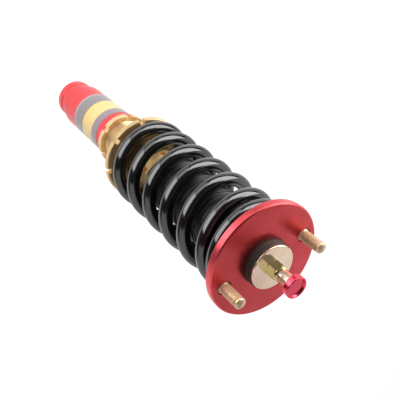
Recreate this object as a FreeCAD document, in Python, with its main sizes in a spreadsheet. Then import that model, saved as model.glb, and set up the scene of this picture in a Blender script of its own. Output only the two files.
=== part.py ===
import FreeCAD, Part
import math
import os
import re

import Sketcher
from FreeCAD import Placement, Rotation, Vector

# Coilover: a monotube damper with a threaded body inside a coil spring, hung from a round plate on two studs.
# Millimetres. The origin is the centre of the plate's top face, +Z runs along the damper axis towards the
# adjuster knob, and the first stud stands at the azimuth stud_azimuth, measured from +X towards +Y.
# Every body is drawn from its own foot upwards and is set at its height by its Placement.

doc = FreeCAD.newDocument("coilover")

# Driving sizes

SIZES = {
    # Top plate and studs
    "plate_radius": 53.0,
    "plate_thickness": 8.0,
    "plate_edge_bevel": 1.2,
    "stud_circle_radius": 40.8,
    "stud_azimuth": 65.25,
    "stud_radius": 5.0,
    "stud_press_radius": 5.4,
    "stud_reach": 23.0,
    "stud_collar_radius": 6.3,
    "stud_collar_depth": 3.2,
    "stud_recess": 1.2,
    "stud_tip_length": 3.0,
    "stud_tip_chamfer": 1.8,
    "stud_groove_width": 1.5,
    "stud_groove_depth": 0.8,
    "stud_foot_cover": 0.5,
    # Rubber bush, sleeve and washers
    "bush_radius": 21.6,
    "bush_taper": 0.2,
    "bush_neck_radius": 17.7,
    "bush_neck_clearance": 0.1,
    "bush_seat_depth": 0.5,
    "bush_upper_height": 8.0,
    "bush_lower_height": 8.0,
    "bush_lip_height": 2.2,
    "bush_groove_depth": 0.7,
    "sleeve_wall": 3.0,
    "washer_radius": 20.5,
    "washer_thickness": 2.2,
    "washer_edge": 0.5,
    "cup_thickness": 2.0,
    "cup_radius": 23.0,
    "cup_wall": 1.5,
    "cup_skirt": 12.0,
    "slip_clearance": 0.1,
    # Lock nut, adjuster housing and knob
    "rod_thread_radius": 5.0,
    "nut_across_flats": 14.0,
    "nut_height": 11.3,
    "nut_chamfer": 0.8,
    "nut_collar_radius": 6.7,
    "nut_collar_height": 2.4,
    "housing_radius": 6.0,
    "housing_height": 12.2,
    "housing_edge": 0.4,
    "rod_thread_overlap": 7.5,
    "detent_count": 8,
    "detent_radius": 0.8,
    "detent_height": 4.3,
    "detent_azimuth": 6.3,
    "knob_radius": 9.75,
    "knob_height": 5.5,
    "knob_gap": 0.3,
    "knob_edge": 0.7,
    "knob_dish_radius": 7.5,
    "knob_dish_depth": 1.5,
    "knob_screw_radius": 1.1,
    "knob_screw_height": 1.9,
    "knob_screw_depth": 3.5,
    "knob_screw_azimuth": 29.0,
    "knob_hub_radius": 3.0,
    "knob_hub_length": 3.6,
    "needle_rod_radius": 1.5,
    "needle_rod_depth": 3.0,
    "needle_taper": 6.0,
    "running_fit": 0.05,
    # Rod, piston and stops
    "rod_radius": 7.0,
    "rod_chamfer": 0.6,
    "piston_post_radius": 5.0,
    "stroke": 74.0,
    "stop_gap": 0.3,
    "spacer_radius": 11.0,
    "spacer_height": 5.7,
    "shim_radius": 16.0,
    "shim_step": 3.0,
    "shim_thickness": 0.5,
    "piston_height": 12.0,
    "piston_land_gap": 0.4,
    "piston_port_count": 8,
    "piston_port_radius": 2.0,
    "piston_port_circle": 12.5,
    "band_height": 8.0,
    "band_depth": 1.2,
    "piston_nut_flats": 17.0,
    "piston_nut_height": 6.0,
    "rod_end_overhang": 1.0,
    "bump_stop_radius": 17.5,
    "bump_stop_bore_gap": 0.4,
    "bump_stop_waist": 3.5,
    "bump_stop_bulges": 3,
    # Spring and its seats
    "wire_diameter": 12.3,
    "spring_mean_radius": 38.7,
    "spring_length": 188.0,
    "spring_turns": 7.05,
    "spring_start_azimuth": 90.0,
    "spring_end_gap": 1.3,
    "spring_lower_run_in": 1.18,
    "spring_upper_start": 5.75,
    "spring_upper_run_in": 0.49,
    "spring_ground_depth": 0.6,
    "seat_gap": 0.2,
    "isolator_thickness": 2.0,
    "isolator_radius": 45.5,
    "isolator_lip_height": 5.0,
    "isolator_lip_wall": 1.6,
    "locator_gap": 0.55,
    # Dust boot
    "boot_rib_radius": 28.6,
    "boot_rib_depth": 2.6,
    "boot_wall": 1.2,
    "boot_rib_count": 20,
    "boot_crest_share": 0.22,
    "boot_cuff_wall": 1.8,
    "boot_lower_cuff": 9.0,
    "boot_upper_cuff": 11.0,
    "boot_end_gap": 0.3,
    "boot_cuff_run": 2.5,
    # Damper body
    "body_radius": 23.5,
    "body_bore_radius": 20.0,
    "body_entry_radius": 20.9,
    "body_length": 173.0,
    "body_floor": 6.0,
    "body_edge": 0.8,
    "body_top_depth": 167.0,
    "gland_flange_height": 11.0,
    "gland_boss_radius": 21.0,
    "gland_boss_height": 10.0,
    "gland_skirt": 8.0,
    "gland_notch_count": 6,
    "gland_notch_width": 5.0,
    "gland_notch_depth": 2.2,
    "gland_notch_height": 6.0,
    "gland_notch_azimuth": 22.0,
    "guide_height": 12.0,
    "seal_radius": 13.0,
    "seal_height": 6.0,
    "wiper_radius": 11.0,
    "wiper_height": 4.0,
    "gas_piston_height": 12.0,
    "gas_piston_margin": 1.5,
    "gas_piston_dish": 7.0,
    "gas_piston_web": 4.5,
    "oring_radius": 1.6,
    # Collars on the thread
    "thread_fit": 0.08,
    "perch_radius": 43.6,
    "perch_thickness": 6.3,
    "perch_top_bevel": 2.4,
    "perch_top_bevel_height": 1.0,
    "perch_hub_radius": 30.0,
    "perch_hub_height": 5.1,
    "perch_locator_height": 5.0,
    "perch_slot_count": 8,
    "perch_slot_width": 5.0,
    "perch_slot_depth": 4.0,
    "perch_slot_azimuth": 8.0,
    "ring_radius": 29.2,
    "ring_edge": 0.6,
    "ring_slot_count": 6,
    "ring_slot_width": 5.0,
    "ring_slot_depth": 3.0,
    "upper_ring_height": 8.0,
    "lower_ring_height": 6.6,
    "ring_gap": 0.1,
    # Lower mount
    "mount_radius": 25.2,
    "mount_room": 8.0,
    "mount_tube_length": 98.3,
    "mount_bore_floor": 1.0,
    "mount_edge": 0.8,
    "spigot_radius": 22.0,
    "spigot_length": 29.0,
    "spigot_chamfer": 2.0,
    "spigot_groove_height": 10.5,
    "spigot_groove_width": 3.5,
    "spigot_groove_depth": 0.8,
    "sleeve_skin": 0.25,
    "sleeve_start": 28.0,
    "sleeve_length": 57.0,
}

sheet = doc.addObject("Spreadsheet::Sheet", "sizes")
for row, (alias, number) in enumerate(SIZES.items(), 1):
    sheet.set("A%d" % row, alias.replace("_", " "))
    sheet.set("B%d" % row, str(number))
    sheet.setAlias("B%d" % row, alias)
doc.recompute()


def size(alias):
    """The number that the sheet holds under this name."""
    return float(sheet.get(alias))


def bound(text):
    """The same formula with each size's name pointing at the sheet."""
    return re.sub("[a-z_]+", lambda word: ("sizes." if word.group() in SIZES else "") + word.group(), text)


def value(text):
    """What a formula over the sheet's sizes comes to."""
    return float(sheet.evalExpression(bound(text)))


# Heights that several pieces share, counted from the plate's top face

WASHER_FOOT = "bush_upper_height"
NUT_FOOT = "bush_upper_height + washer_thickness"
HOUSING_FOOT = NUT_FOOT + " + nut_height"
HOUSING_TOP = HOUSING_FOOT + " + housing_height"
KNOB_FOOT = HOUSING_TOP + " + knob_gap"
ROD_TOP = HOUSING_FOOT + " + rod_thread_overlap"

CUP_TOP_DEPTH = "plate_thickness + bush_lower_height"
CUP_FOOT_DEPTH = CUP_TOP_DEPTH + " + cup_thickness"
SPRING_TOP_DEPTH = "plate_thickness + isolator_thickness"
SPRING_FOOT_DEPTH = SPRING_TOP_DEPTH + " + spring_length"
PERCH_TOP_DEPTH = SPRING_FOOT_DEPTH + " + seat_gap"
PERCH_FLANGE_DEPTH = PERCH_TOP_DEPTH + " + perch_thickness"
PERCH_FOOT_DEPTH = PERCH_FLANGE_DEPTH + " + perch_hub_height"
UPPER_RING_DEPTH = PERCH_FOOT_DEPTH + " + ring_gap + upper_ring_height"

GLAND_TOP_DEPTH = "body_top_depth - gland_flange_height - gland_boss_height"
FLANGE_TOP_DEPTH = "body_top_depth - gland_flange_height"
GUIDE_TOP_DEPTH = "body_top_depth + gland_skirt"
GUIDE_FOOT_DEPTH = GUIDE_TOP_DEPTH + " + guide_height"
POST_TOP_DEPTH = GUIDE_FOOT_DEPTH + " + stop_gap + spacer_height"
SHIM_STACK = "3 * shim_thickness"
PISTON_TOP_DEPTH = POST_TOP_DEPTH + " + " + SHIM_STACK
PISTON_FOOT_DEPTH = PISTON_TOP_DEPTH + " + piston_height"
PISTON_NUT_TOP_DEPTH = PISTON_FOOT_DEPTH + " + " + SHIM_STACK
ROD_FOOT_DEPTH = PISTON_NUT_TOP_DEPTH + " + piston_nut_height + rod_end_overhang"
GAS_PISTON_TOP_DEPTH = ROD_FOOT_DEPTH + " + stroke + gas_piston_margin"
BODY_FOOT_DEPTH = "body_top_depth + body_length"
STOP_FOOT_DEPTH = GLAND_TOP_DEPTH + " - stroke - stop_gap"

MOUNT_END_DEPTH = BODY_FOOT_DEPTH + " + mount_room + mount_bore_floor + spigot_length"
MOUNT_TOP_DEPTH = MOUNT_END_DEPTH + " - spigot_length - mount_tube_length"
LOWER_RING_DEPTH = MOUNT_TOP_DEPTH + " - ring_gap"

THREAD_BORE = "body_radius + thread_fit"
SLEEVE_BORE = "rod_thread_radius + slip_clearance"
SLEEVE_RADIUS = SLEEVE_BORE + " + sleeve_wall"
SPRING_INNER = "spring_mean_radius - 0.5 * wire_diameter"

sub_parts = []


# Building helpers

def origin_plane(body, role):
    """One of the body's own base planes."""
    for feature in body.Origin.OriginFeatures:
        if feature.Role == role:
            return feature
    raise ValueError(role)


def place(item, height, turn="0", reach="0", azimuth="0"):
    """Sets a sub-part's height, its turn about Z and its distance from the axis by formula."""
    item.Placement = Placement(Vector(1, 1, 1), Rotation(Vector(0, 0, 1), 1))
    item.setExpression("Placement.Base.x", bound("(%s) * cos(1 deg * (%s))" % (reach, azimuth)))
    item.setExpression("Placement.Base.y", bound("(%s) * sin(1 deg * (%s))" % (reach, azimuth)))
    item.setExpression("Placement.Base.z", bound(height))
    item.setExpression("Placement.Rotation.Angle", bound(turn))


def new_body(name, height, turn="0", reach="0", azimuth="0"):
    """A body that is one sub-part, set at its place."""
    body = doc.addObject("PartDesign::Body", name)
    body.Label = name
    place(body, height, turn, reach, azimuth)
    sub_parts.append(body)
    return body


def new_sketch(body, name, role):
    """An empty sketch on one of the body's base planes."""
    sketch = body.newObject("Sketcher::SketchObject", name)
    sketch.AttachmentSupport = (origin_plane(body, role), [""])
    sketch.MapMode = "FlatFace"
    return sketch


def pin_point(sketch, geometry, end, across, up):
    """Fixes a point of the sketch at two formulas, measured from its origin."""
    for kind, axis, text in (("DistanceX", -2, across), ("DistanceY", -1, up)):
        if text == "0":
            sketch.addConstraint(Sketcher.Constraint("PointOnObject", geometry, end, axis))
            continue
        index = sketch.addConstraint(Sketcher.Constraint(kind, -1, 1, geometry, end, value(text)))
        label = "%s_%d_%d" % (kind, geometry, end)
        sketch.renameConstraint(index, label)
        sketch.setExpression("Constraints." + label, bound(text))


def draw_outline(sketch, corners):
    """A closed outline of straight lines through corners given as pairs of formulas."""
    points = [Vector(value(across), value(up), 0) for across, up in corners]
    first = sketch.GeometryCount
    count = len(points)
    for i in range(count):
        sketch.addGeometry(Part.LineSegment(points[i], points[(i + 1) % count]))
    for i in range(count):
        following = first + (i + 1) % count
        sketch.addConstraint(Sketcher.Constraint("Coincident", first + i, 2, following, 1))
    for i in range(count):
        pin_point(sketch, first + i, 1, corners[i][0], corners[i][1])


def draw_circle(sketch, across, up, radius):
    """A full circle whose centre and radius are formulas."""
    centre = Vector(value(across), value(up), 0)
    index = sketch.addGeometry(Part.Circle(centre, Vector(0, 0, 1), value(radius)))
    pin_point(sketch, index, 3, across, up)
    rule = sketch.addConstraint(Sketcher.Constraint("Radius", index, value(radius)))
    label = "radius_%d" % index
    sketch.renameConstraint(rule, label)
    sketch.setExpression("Constraints." + label, bound(radius))


def turned(body, corners, name="profile"):
    """Revolves an outline in the XZ plane once round the axis."""
    sketch = new_sketch(body, name, "XZ_Plane")
    draw_outline(sketch, corners)
    turn = body.newObject("PartDesign::Revolution", name + "_turned")
    turn.Profile = sketch
    turn.ReferenceAxis = (sketch, ["V_Axis"])
    turn.Angle = 360
    sketch.Visibility = False
    body.Tip = turn
    doc.recompute()
    return turn


def grooved(body, corners, name):
    """Turns an outline in the XZ plane away from the body and checks that it has cut something."""
    before = body.Shape.Volume
    sketch = new_sketch(body, name, "XZ_Plane")
    draw_outline(sketch, corners)
    groove = body.newObject("PartDesign::Groove", name + "_turned_off")
    groove.Profile = sketch
    groove.ReferenceAxis = (sketch, ["V_Axis"])
    groove.Angle = 360
    sketch.Visibility = False
    body.Tip = groove
    doc.recompute()
    if not body.Shape.Volume < before:
        raise RuntimeError(name + " cuts nothing")
    return groove


def round_pattern(body, feature, count, name):
    """Repeats a feature round the axis."""
    pattern = body.newObject("PartDesign::PolarPattern", name)
    pattern.Originals = [feature]
    pattern.Axis = (origin_axis(body), [""])
    pattern.Angle = 360
    pattern.setExpression("Occurrences", bound(count))
    body.Tip = pattern
    doc.recompute()
    return pattern


def origin_axis(body):
    """The body's own Z axis."""
    return origin_plane(body, "Z_Axis")


def pocketed(body, sketch, length, name, upwards=True):
    """Cuts a sketch out of the body over a length and checks that it has cut something."""
    before = body.Shape.Volume
    pocket = body.newObject("PartDesign::Pocket", name)
    pocket.Profile = sketch
    pocket.Type = "Length"
    pocket.setExpression("Length", bound(length))
    pocket.Reversed = upwards
    sketch.Visibility = False
    body.Tip = pocket
    doc.recompute()
    if not body.Shape.Volume < before:
        raise RuntimeError(name + " cuts nothing")
    return pocket


def slotted(body, inner, outer, width, height, count, name):
    """Cuts slots that stand on the body's foot plane, evenly spaced, from one radius out to another."""
    sketch = new_sketch(body, name + "_outline", "XY_Plane")
    draw_outline(sketch, [
        (inner, "-0.5 * (%s)" % width),
        (outer, "-0.5 * (%s)" % width),
        (outer, "0.5 * (%s)" % width),
        (inner, "0.5 * (%s)" % width),
    ])
    pocket = pocketed(body, sketch, height, name)
    return round_pattern(body, pocket, count, name + "_round")


def hexagon_pad(body, flats, height, name="hexagon"):
    """A hexagonal prism with its first corner on +X."""
    sketch = new_sketch(body, name, "XY_Plane")
    corner = "(%s) / sqrt(3)" % flats
    corners = []
    for i in range(6):
        corners.append(("(%s) * cos(%d deg)" % (corner, 60 * i), "(%s) * sin(%d deg)" % (corner, 60 * i)))
    corners[0] = (corners[0][0], "0")
    corners[3] = (corners[3][0], "0")
    draw_outline(sketch, corners)
    pad = body.newObject("PartDesign::Pad", name + "_pad")
    pad.Profile = sketch
    pad.setExpression("Length", bound(height))
    sketch.Visibility = False
    body.Tip = pad
    doc.recompute()
    return pad


def rounded(body, radius, height, size_name, name):
    """Rounds the full circular edges of one radius and height with a radius from the sheet."""
    base = body.Tip
    names = []
    for i, edge in enumerate(base.Shape.Edges):
        curve = edge.Curve
        if not isinstance(curve, Part.Circle):
            continue
        if math.isclose(curve.Radius, value(radius)) and math.isclose(curve.Center.z, value(height)):
            names.append("Edge%d" % (i + 1))
    if not names:
        raise RuntimeError(name + " finds no edge")
    fillet = body.newObject("PartDesign::Fillet", name)
    fillet.Base = (base, names)
    fillet.setExpression("Radius", bound(size_name))
    body.Tip = fillet
    doc.recompute()
    return fillet


def negative(text):
    """A depth below the plate's top face as a height."""
    return "-(%s)" % text


# Top plate: a disc with a bevelled rim, the bush's bore and shallow seat, and two counterbored stud seats

plate = new_body("mount_plate", negative("plate_thickness"))
PLATE_BORE = "bush_neck_radius + bush_neck_clearance"
BUSH_SEAT = "bush_radius + bush_neck_clearance"
turned(plate, [
    (PLATE_BORE, "0"),
    ("plate_radius - plate_edge_bevel", "0"),
    ("plate_radius", "plate_edge_bevel"),
    ("plate_radius", "plate_thickness - plate_edge_bevel"),
    ("plate_radius - plate_edge_bevel", "plate_thickness"),
    (BUSH_SEAT, "plate_thickness"),
    (BUSH_SEAT, "plate_thickness - bush_seat_depth"),
    (PLATE_BORE, "plate_thickness - bush_seat_depth"),
])
for index, side in enumerate(("1", "-1")):
    across = side + " * stud_circle_radius * cos(1 deg * stud_azimuth)"
    up = side + " * stud_circle_radius * sin(1 deg * stud_azimuth)"
    hole = new_sketch(plate, "stud_hole_%d" % (index + 1), "XY_Plane")
    draw_circle(hole, across, up, "stud_press_radius + slip_clearance")
    pocketed(plate, hole, "plate_thickness", "stud_hole_cut_%d" % (index + 1))
    seat = new_sketch(plate, "stud_seat_%d" % (index + 1), "XY_Plane")
    seat.AttachmentOffset = Placement(Vector(0, 0, 1), Rotation())
    seat.setExpression("AttachmentOffset.Base.z", bound("plate_thickness - stud_collar_depth"))
    draw_circle(seat, across, up, "stud_collar_radius + slip_clearance")
    pocketed(plate, seat, "stud_collar_depth", "stud_seat_cut_%d" % (index + 1))

# Studs: pressed-in shank, collar sunk a little below the face, round stud with a groove under the tip

for name, azimuth in (("stud_left", "stud_azimuth"), ("stud_right", "stud_azimuth + 180")):
    stud = new_body(name, "stud_foot_cover - plate_thickness", "0", "stud_circle_radius", azimuth)
    TOP = "plate_thickness - stud_foot_cover + stud_reach"
    FACE = "plate_thickness - stud_foot_cover"
    turned(stud, [
        ("0", "0"),
        ("stud_press_radius", "0"),
        ("stud_press_radius", FACE + " - stud_collar_depth"),
        ("stud_collar_radius", FACE + " - stud_collar_depth"),
        ("stud_collar_radius", FACE + " - stud_recess"),
        ("stud_radius", FACE + " - stud_recess"),
        ("stud_radius", TOP + " - stud_tip_length - stud_groove_width"),
        ("stud_radius - stud_groove_depth", TOP + " - stud_tip_length - 0.7 * stud_groove_width"),
        ("stud_radius - stud_groove_depth", TOP + " - stud_tip_length - 0.3 * stud_groove_width"),
        ("stud_radius", TOP + " - stud_tip_length"),
        ("stud_radius", TOP + " - stud_tip_chamfer"),
        ("stud_radius - stud_tip_chamfer", TOP),
        ("0", TOP),
    ])

# Rubber bush in two halves that meet in the plate's bore, with a lip and a groove on the outside

upper_bush = new_body("bush_upper", "-0.5 * plate_thickness")
BUSH_BORE = SLEEVE_RADIUS + " + slip_clearance"
HALF = "0.5 * plate_thickness"
turned(upper_bush, [
    (BUSH_BORE, "0"),
    ("bush_neck_radius", "0"),
    ("bush_neck_radius", HALF + " - bush_seat_depth"),
    ("bush_radius", HALF + " - bush_seat_depth"),
    ("bush_radius - 0.1 * bush_taper", HALF + " + bush_lip_height"),
    ("bush_radius - 0.1 * bush_taper - bush_groove_depth", HALF + " + bush_lip_height + 0.3 * bush_groove_depth"),
    ("bush_radius - 0.5 * bush_taper - bush_groove_depth", HALF + " + bush_upper_height - bush_lip_height"),
    ("bush_radius - 0.5 * bush_taper", HALF + " + bush_upper_height - 0.8 * bush_lip_height"),
    ("bush_radius - bush_taper", HALF + " + bush_upper_height - 0.3 * bush_lip_height"),
    ("bush_radius - bush_taper - 0.4 * bush_lip_height", HALF + " + bush_upper_height"),
    (BUSH_BORE, HALF + " + bush_upper_height"),
])

lower_bush = new_body("bush_lower", negative(CUP_TOP_DEPTH))
turned(lower_bush, [
    (BUSH_BORE, "0"),
    ("bush_radius - bush_taper - 0.4 * bush_lip_height", "0"),
    ("bush_radius - bush_taper", "0.3 * bush_lip_height"),
    ("bush_radius", "bush_lower_height - bush_lip_height"),
    ("bush_radius", "bush_lower_height"),
    ("bush_neck_radius", "bush_lower_height"),
    ("bush_neck_radius", "bush_lower_height + " + HALF),
    (BUSH_BORE, "bush_lower_height + " + HALF),
])

sleeve = new_body("bush_sleeve", negative(CUP_TOP_DEPTH))
SLEEVE_HEIGHT = CUP_TOP_DEPTH + " + bush_upper_height"
turned(sleeve, [
    (SLEEVE_BORE, "0"),
    (SLEEVE_RADIUS, "0"),
    (SLEEVE_RADIUS, SLEEVE_HEIGHT),
    (SLEEVE_BORE, SLEEVE_HEIGHT),
])

washer = new_body("bush_washer", WASHER_FOOT)
turned(washer, [
    (SLEEVE_BORE, "0"),
    ("washer_radius - washer_edge", "0"),
    ("washer_radius", "washer_edge"),
    ("washer_radius", "washer_thickness - washer_edge"),
    ("washer_radius - washer_edge", "washer_thickness"),
    (SLEEVE_BORE, "washer_thickness"),
])

# Cup washer under the bush: its skirt holds the bump stop inside and the boot outside

cup = new_body("bump_cup", negative(CUP_FOOT_DEPTH + " + cup_skirt"))
turned(cup, [
    ("cup_radius - cup_wall", "0"),
    ("cup_radius", "0"),
    ("cup_radius", "cup_skirt + 0.5 * cup_thickness"),
    ("cup_radius - 0.5 * cup_thickness", "cup_skirt + cup_thickness"),
    (SLEEVE_BORE, "cup_skirt + cup_thickness"),
    (SLEEVE_BORE, "cup_skirt"),
    ("cup_radius - cup_wall", "cup_skirt"),
])

# Lock nut: tall hexagon with a chamfered foot and a round collar on top

nut = new_body("lock_nut", NUT_FOOT, "1")
hexagon_pad(nut, "nut_across_flats", "nut_height")
NUT_CORNER = "nut_across_flats / sqrt(3)"
NUT_FACE = "0.5 * nut_across_flats"
grooved(nut, [
    ("nut_collar_radius - housing_edge", "nut_height"),
    (NUT_CORNER + " + nut_chamfer", "nut_height"),
    (NUT_CORNER + " + nut_chamfer", "nut_height - nut_collar_height - nut_chamfer"),
    ("nut_collar_radius", "nut_height - nut_collar_height"),
    ("nut_collar_radius", "nut_height - housing_edge"),
], "upper_collar")
grooved(nut, [
    (NUT_FACE, "0"),
    (NUT_CORNER + " + nut_chamfer", "1.5 * nut_chamfer"),
    (NUT_CORNER + " + nut_chamfer", "0"),
], "lower_chamfer")
bore = new_sketch(nut, "nut_bore", "XY_Plane")
draw_circle(bore, "0", "0", SLEEVE_BORE)
pocketed(nut, bore, "nut_height", "nut_bore_cut")

# Piston rod: threaded end through the bush, plain shaft, post for the piston, bored for the needle

rod = new_body("piston_rod", negative(ROD_FOOT_DEPTH))
NEEDLE_BORE = "needle_rod_radius + running_fit"
POST_HEIGHT = "(%s) - (%s)" % (ROD_FOOT_DEPTH, POST_TOP_DEPTH)
SHOULDER_HEIGHT = "(%s) - (%s)" % (ROD_FOOT_DEPTH, CUP_FOOT_DEPTH)
ROD_LENGTH = "(%s) + (%s)" % (ROD_FOOT_DEPTH, ROD_TOP)
turned(rod, [
    (NEEDLE_BORE, "0"),
    ("piston_post_radius - rod_chamfer", "0"),
    ("piston_post_radius", "rod_chamfer"),
    ("piston_post_radius", POST_HEIGHT),
    ("rod_radius", POST_HEIGHT),
    ("rod_radius", SHOULDER_HEIGHT),
    ("rod_thread_radius", SHOULDER_HEIGHT),
    ("rod_thread_radius", ROD_LENGTH + " - rod_chamfer"),
    ("rod_thread_radius - rod_chamfer", ROD_LENGTH),
    (NEEDLE_BORE, ROD_LENGTH),
])

# Adjuster housing on the rod's end, with a ring of small detent holes

housing = new_body("clicker_housing", HOUSING_FOOT, "detent_azimuth")
HUB_BORE = "knob_hub_radius + running_fit"
turned(housing, [
    (SLEEVE_BORE, "0"),
    ("housing_radius", "0"),
    ("housing_radius", "housing_height - housing_edge"),
    ("housing_radius - housing_edge", "housing_height"),
    (HUB_BORE, "housing_height"),
    (HUB_BORE, "rod_thread_overlap + stop_gap"),
    (SLEEVE_BORE, "rod_thread_overlap + stop_gap"),
])
detent = new_sketch(housing, "detent", "YZ_Plane")
draw_circle(detent, "0", "detent_height", "detent_radius")
before = housing.Shape.Volume
detent_cut = housing.newObject("PartDesign::Pocket", "detent_cut")
detent_cut.Profile = detent
detent_cut.Type = "Length"
detent_cut.setExpression("Length", bound("2 * housing_radius"))
detent_cut.Reversed = True
detent.Visibility = False
housing.Tip = detent_cut
doc.recompute()
if not housing.Shape.Volume < before:
    raise RuntimeError("the detents cut nothing")
round_pattern(housing, detent_cut, "detent_count", "detents")

# Adjuster knob: dished disc on a short hub, with the needle rod fixed in it by a screw from the side

knob = new_body("adjuster_knob", KNOB_FOOT + " - knob_hub_length", "knob_screw_azimuth")
KNOB_TOP = "knob_hub_length + knob_height"
turned(knob, [
    ("needle_rod_radius + running_fit", "0"),
    ("knob_hub_radius", "0"),
    ("knob_hub_radius", "knob_hub_length"),
    ("knob_radius", "knob_hub_length"),
    ("knob_radius", KNOB_TOP),
    ("knob_dish_radius + 0.5 * knob_dish_depth", KNOB_TOP),
    ("knob_dish_radius", KNOB_TOP + " - knob_dish_depth"),
    ("0", KNOB_TOP + " - knob_dish_depth"),
    ("0", "knob_hub_length + needle_rod_depth"),
    ("needle_rod_radius + running_fit", "knob_hub_length + needle_rod_depth"),
])
rounded(knob, "knob_radius", KNOB_TOP, "knob_edge", "knob_rim")
screw = new_sketch(knob, "screw_hole", "YZ_Plane")
screw.AttachmentOffset = Placement(Vector(0, 0, 1), Rotation())
screw.setExpression("AttachmentOffset.Base.z", bound("knob_radius - knob_screw_depth"))
draw_circle(screw, "0", "knob_hub_length + knob_screw_height", "knob_screw_radius")
pocketed(knob, screw, "2 * knob_screw_depth", "screw_hole_cut")

needle = new_body("adjuster_needle", negative("(%s) - rod_end_overhang" % ROD_FOOT_DEPTH))
NEEDLE_LENGTH = "(%s) - rod_end_overhang + (%s) + needle_rod_depth" % (ROD_FOOT_DEPTH, KNOB_FOOT)
turned(needle, [
    ("0", "0"),
    ("0.3 * needle_rod_radius", "0"),
    ("needle_rod_radius", "needle_taper"),
    ("needle_rod_radius", NEEDLE_LENGTH),
    ("0", NEEDLE_LENGTH),
])

# Bump stop: foam collar on the rod with waists between its bulges

bump_stop = new_body("bump_stop", negative(STOP_FOOT_DEPTH))
STOP_HEIGHT = "(%s) - (%s)" % (STOP_FOOT_DEPTH, CUP_FOOT_DEPTH)
STOP_BORE = "rod_radius + bump_stop_bore_gap"
bulges = int(size("bump_stop_bulges"))
stop_corners = [(STOP_BORE, "0")]
for i in range(bulges):
    low = "%d / %d * (%s)" % (i, bulges, STOP_HEIGHT)
    third = "(%s) / %d" % (STOP_HEIGHT, 3 * bulges)
    stop_corners.append(("bump_stop_radius - bump_stop_waist", low if i else "0"))
    stop_corners.append(("bump_stop_radius", "%s + %s" % (low, third)))
    stop_corners.append(("bump_stop_radius", "%s + 2 * %s" % (low, third)))
stop_corners.append(("bump_stop_radius - bump_stop_waist", STOP_HEIGHT))
stop_corners.append((STOP_BORE, STOP_HEIGHT))
turned(bump_stop, stop_corners)

# Rebound spacer, shims, piston with its band, and the nut on the post

spacer = new_body("rebound_spacer", negative(POST_TOP_DEPTH))
turned(spacer, [
    ("rod_radius + slip_clearance", "0"),
    ("spacer_radius", "0"),
    ("spacer_radius", "spacer_height"),
    ("rod_radius + slip_clearance", "spacer_height"),
])

POST_BORE = "piston_post_radius + slip_clearance"
for name, height, radii in (
    ("shims_upper", PISTON_TOP_DEPTH, ("shim_radius", "shim_radius - shim_step", "shim_radius - 2 * shim_step")),
    ("shims_lower", PISTON_NUT_TOP_DEPTH, ("shim_radius - 2 * shim_step", "shim_radius - shim_step", "shim_radius")),
):
    shims = new_body(name, negative(height))
    corners = [(POST_BORE, "0")]
    for i, radius in enumerate(radii):
        corners.append((radius, "%d * shim_thickness" % i if i else "0"))
        corners.append((radius, "%d * shim_thickness" % (i + 1)))
    corners.append((POST_BORE, SHIM_STACK))
    turned(shims, corners)

piston = new_body("piston", negative(PISTON_FOOT_DEPTH))
LAND = "body_bore_radius - piston_land_gap"
BAND_FOOT = "0.5 * (piston_height - band_height)"
turned(piston, [
    (POST_BORE, "0"),
    (LAND, "0"),
    (LAND, BAND_FOOT),
    (LAND + " - band_depth", BAND_FOOT),
    (LAND + " - band_depth", BAND_FOOT + " + band_height"),
    (LAND, BAND_FOOT + " + band_height"),
    (LAND, "piston_height"),
    (POST_BORE, "piston_height"),
])
port = new_sketch(piston, "port", "XY_Plane")
draw_circle(port, "piston_port_circle", "0", "piston_port_radius")
port_cut = pocketed(piston, port, "piston_height", "port_cut")
round_pattern(piston, port_cut, "piston_port_count", "ports")

band = new_body("piston_band", negative("(%s) - (%s)" % (PISTON_FOOT_DEPTH, BAND_FOOT)))
turned(band, [
    (LAND + " - band_depth + running_fit", "0"),
    ("body_bore_radius - running_fit", "0"),
    ("body_bore_radius - running_fit", "band_height"),
    (LAND + " - band_depth + running_fit", "band_height"),
])

piston_nut = new_body("piston_nut", negative(PISTON_NUT_TOP_DEPTH + " + piston_nut_height"))
hexagon_pad(piston_nut, "piston_nut_flats", "piston_nut_height")
nut_hole = new_sketch(piston_nut, "piston_nut_bore", "XY_Plane")
draw_circle(nut_hole, "0", "0", POST_BORE)
pocketed(piston_nut, nut_hole, "piston_nut_height", "piston_nut_bore_cut")

# Spring isolator under the plate, with a lip that centres the top coil

isolator = new_body("spring_isolator", negative(SPRING_TOP_DEPTH + " + isolator_lip_height"))
LIP_RADIUS = SPRING_INNER + " - locator_gap"
turned(isolator, [
    (LIP_RADIUS + " - isolator_lip_wall", "0"),
    (LIP_RADIUS, "0"),
    (LIP_RADIUS, "isolator_lip_height"),
    ("isolator_radius", "isolator_lip_height"),
    ("isolator_radius", "isolator_lip_height + isolator_thickness"),
    (LIP_RADIUS + " - isolator_lip_wall", "isolator_lip_height + isolator_thickness"),
])

# Spring: one round wire whose pitch grows from a closed lower end to the free coils and closes again at the top.
# Both ends are ground flat. The free pitch and the lower end's pitch follow from the length between the seats
# and from the gap left between the end coils.


def eased(u):
    """Area under a smooth step from 0 to 1, taken up to u."""
    if u <= 0:
        return 0.0
    if u >= 1:
        return u - 0.5
    return u ** 3 - 0.5 * u ** 4


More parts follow.
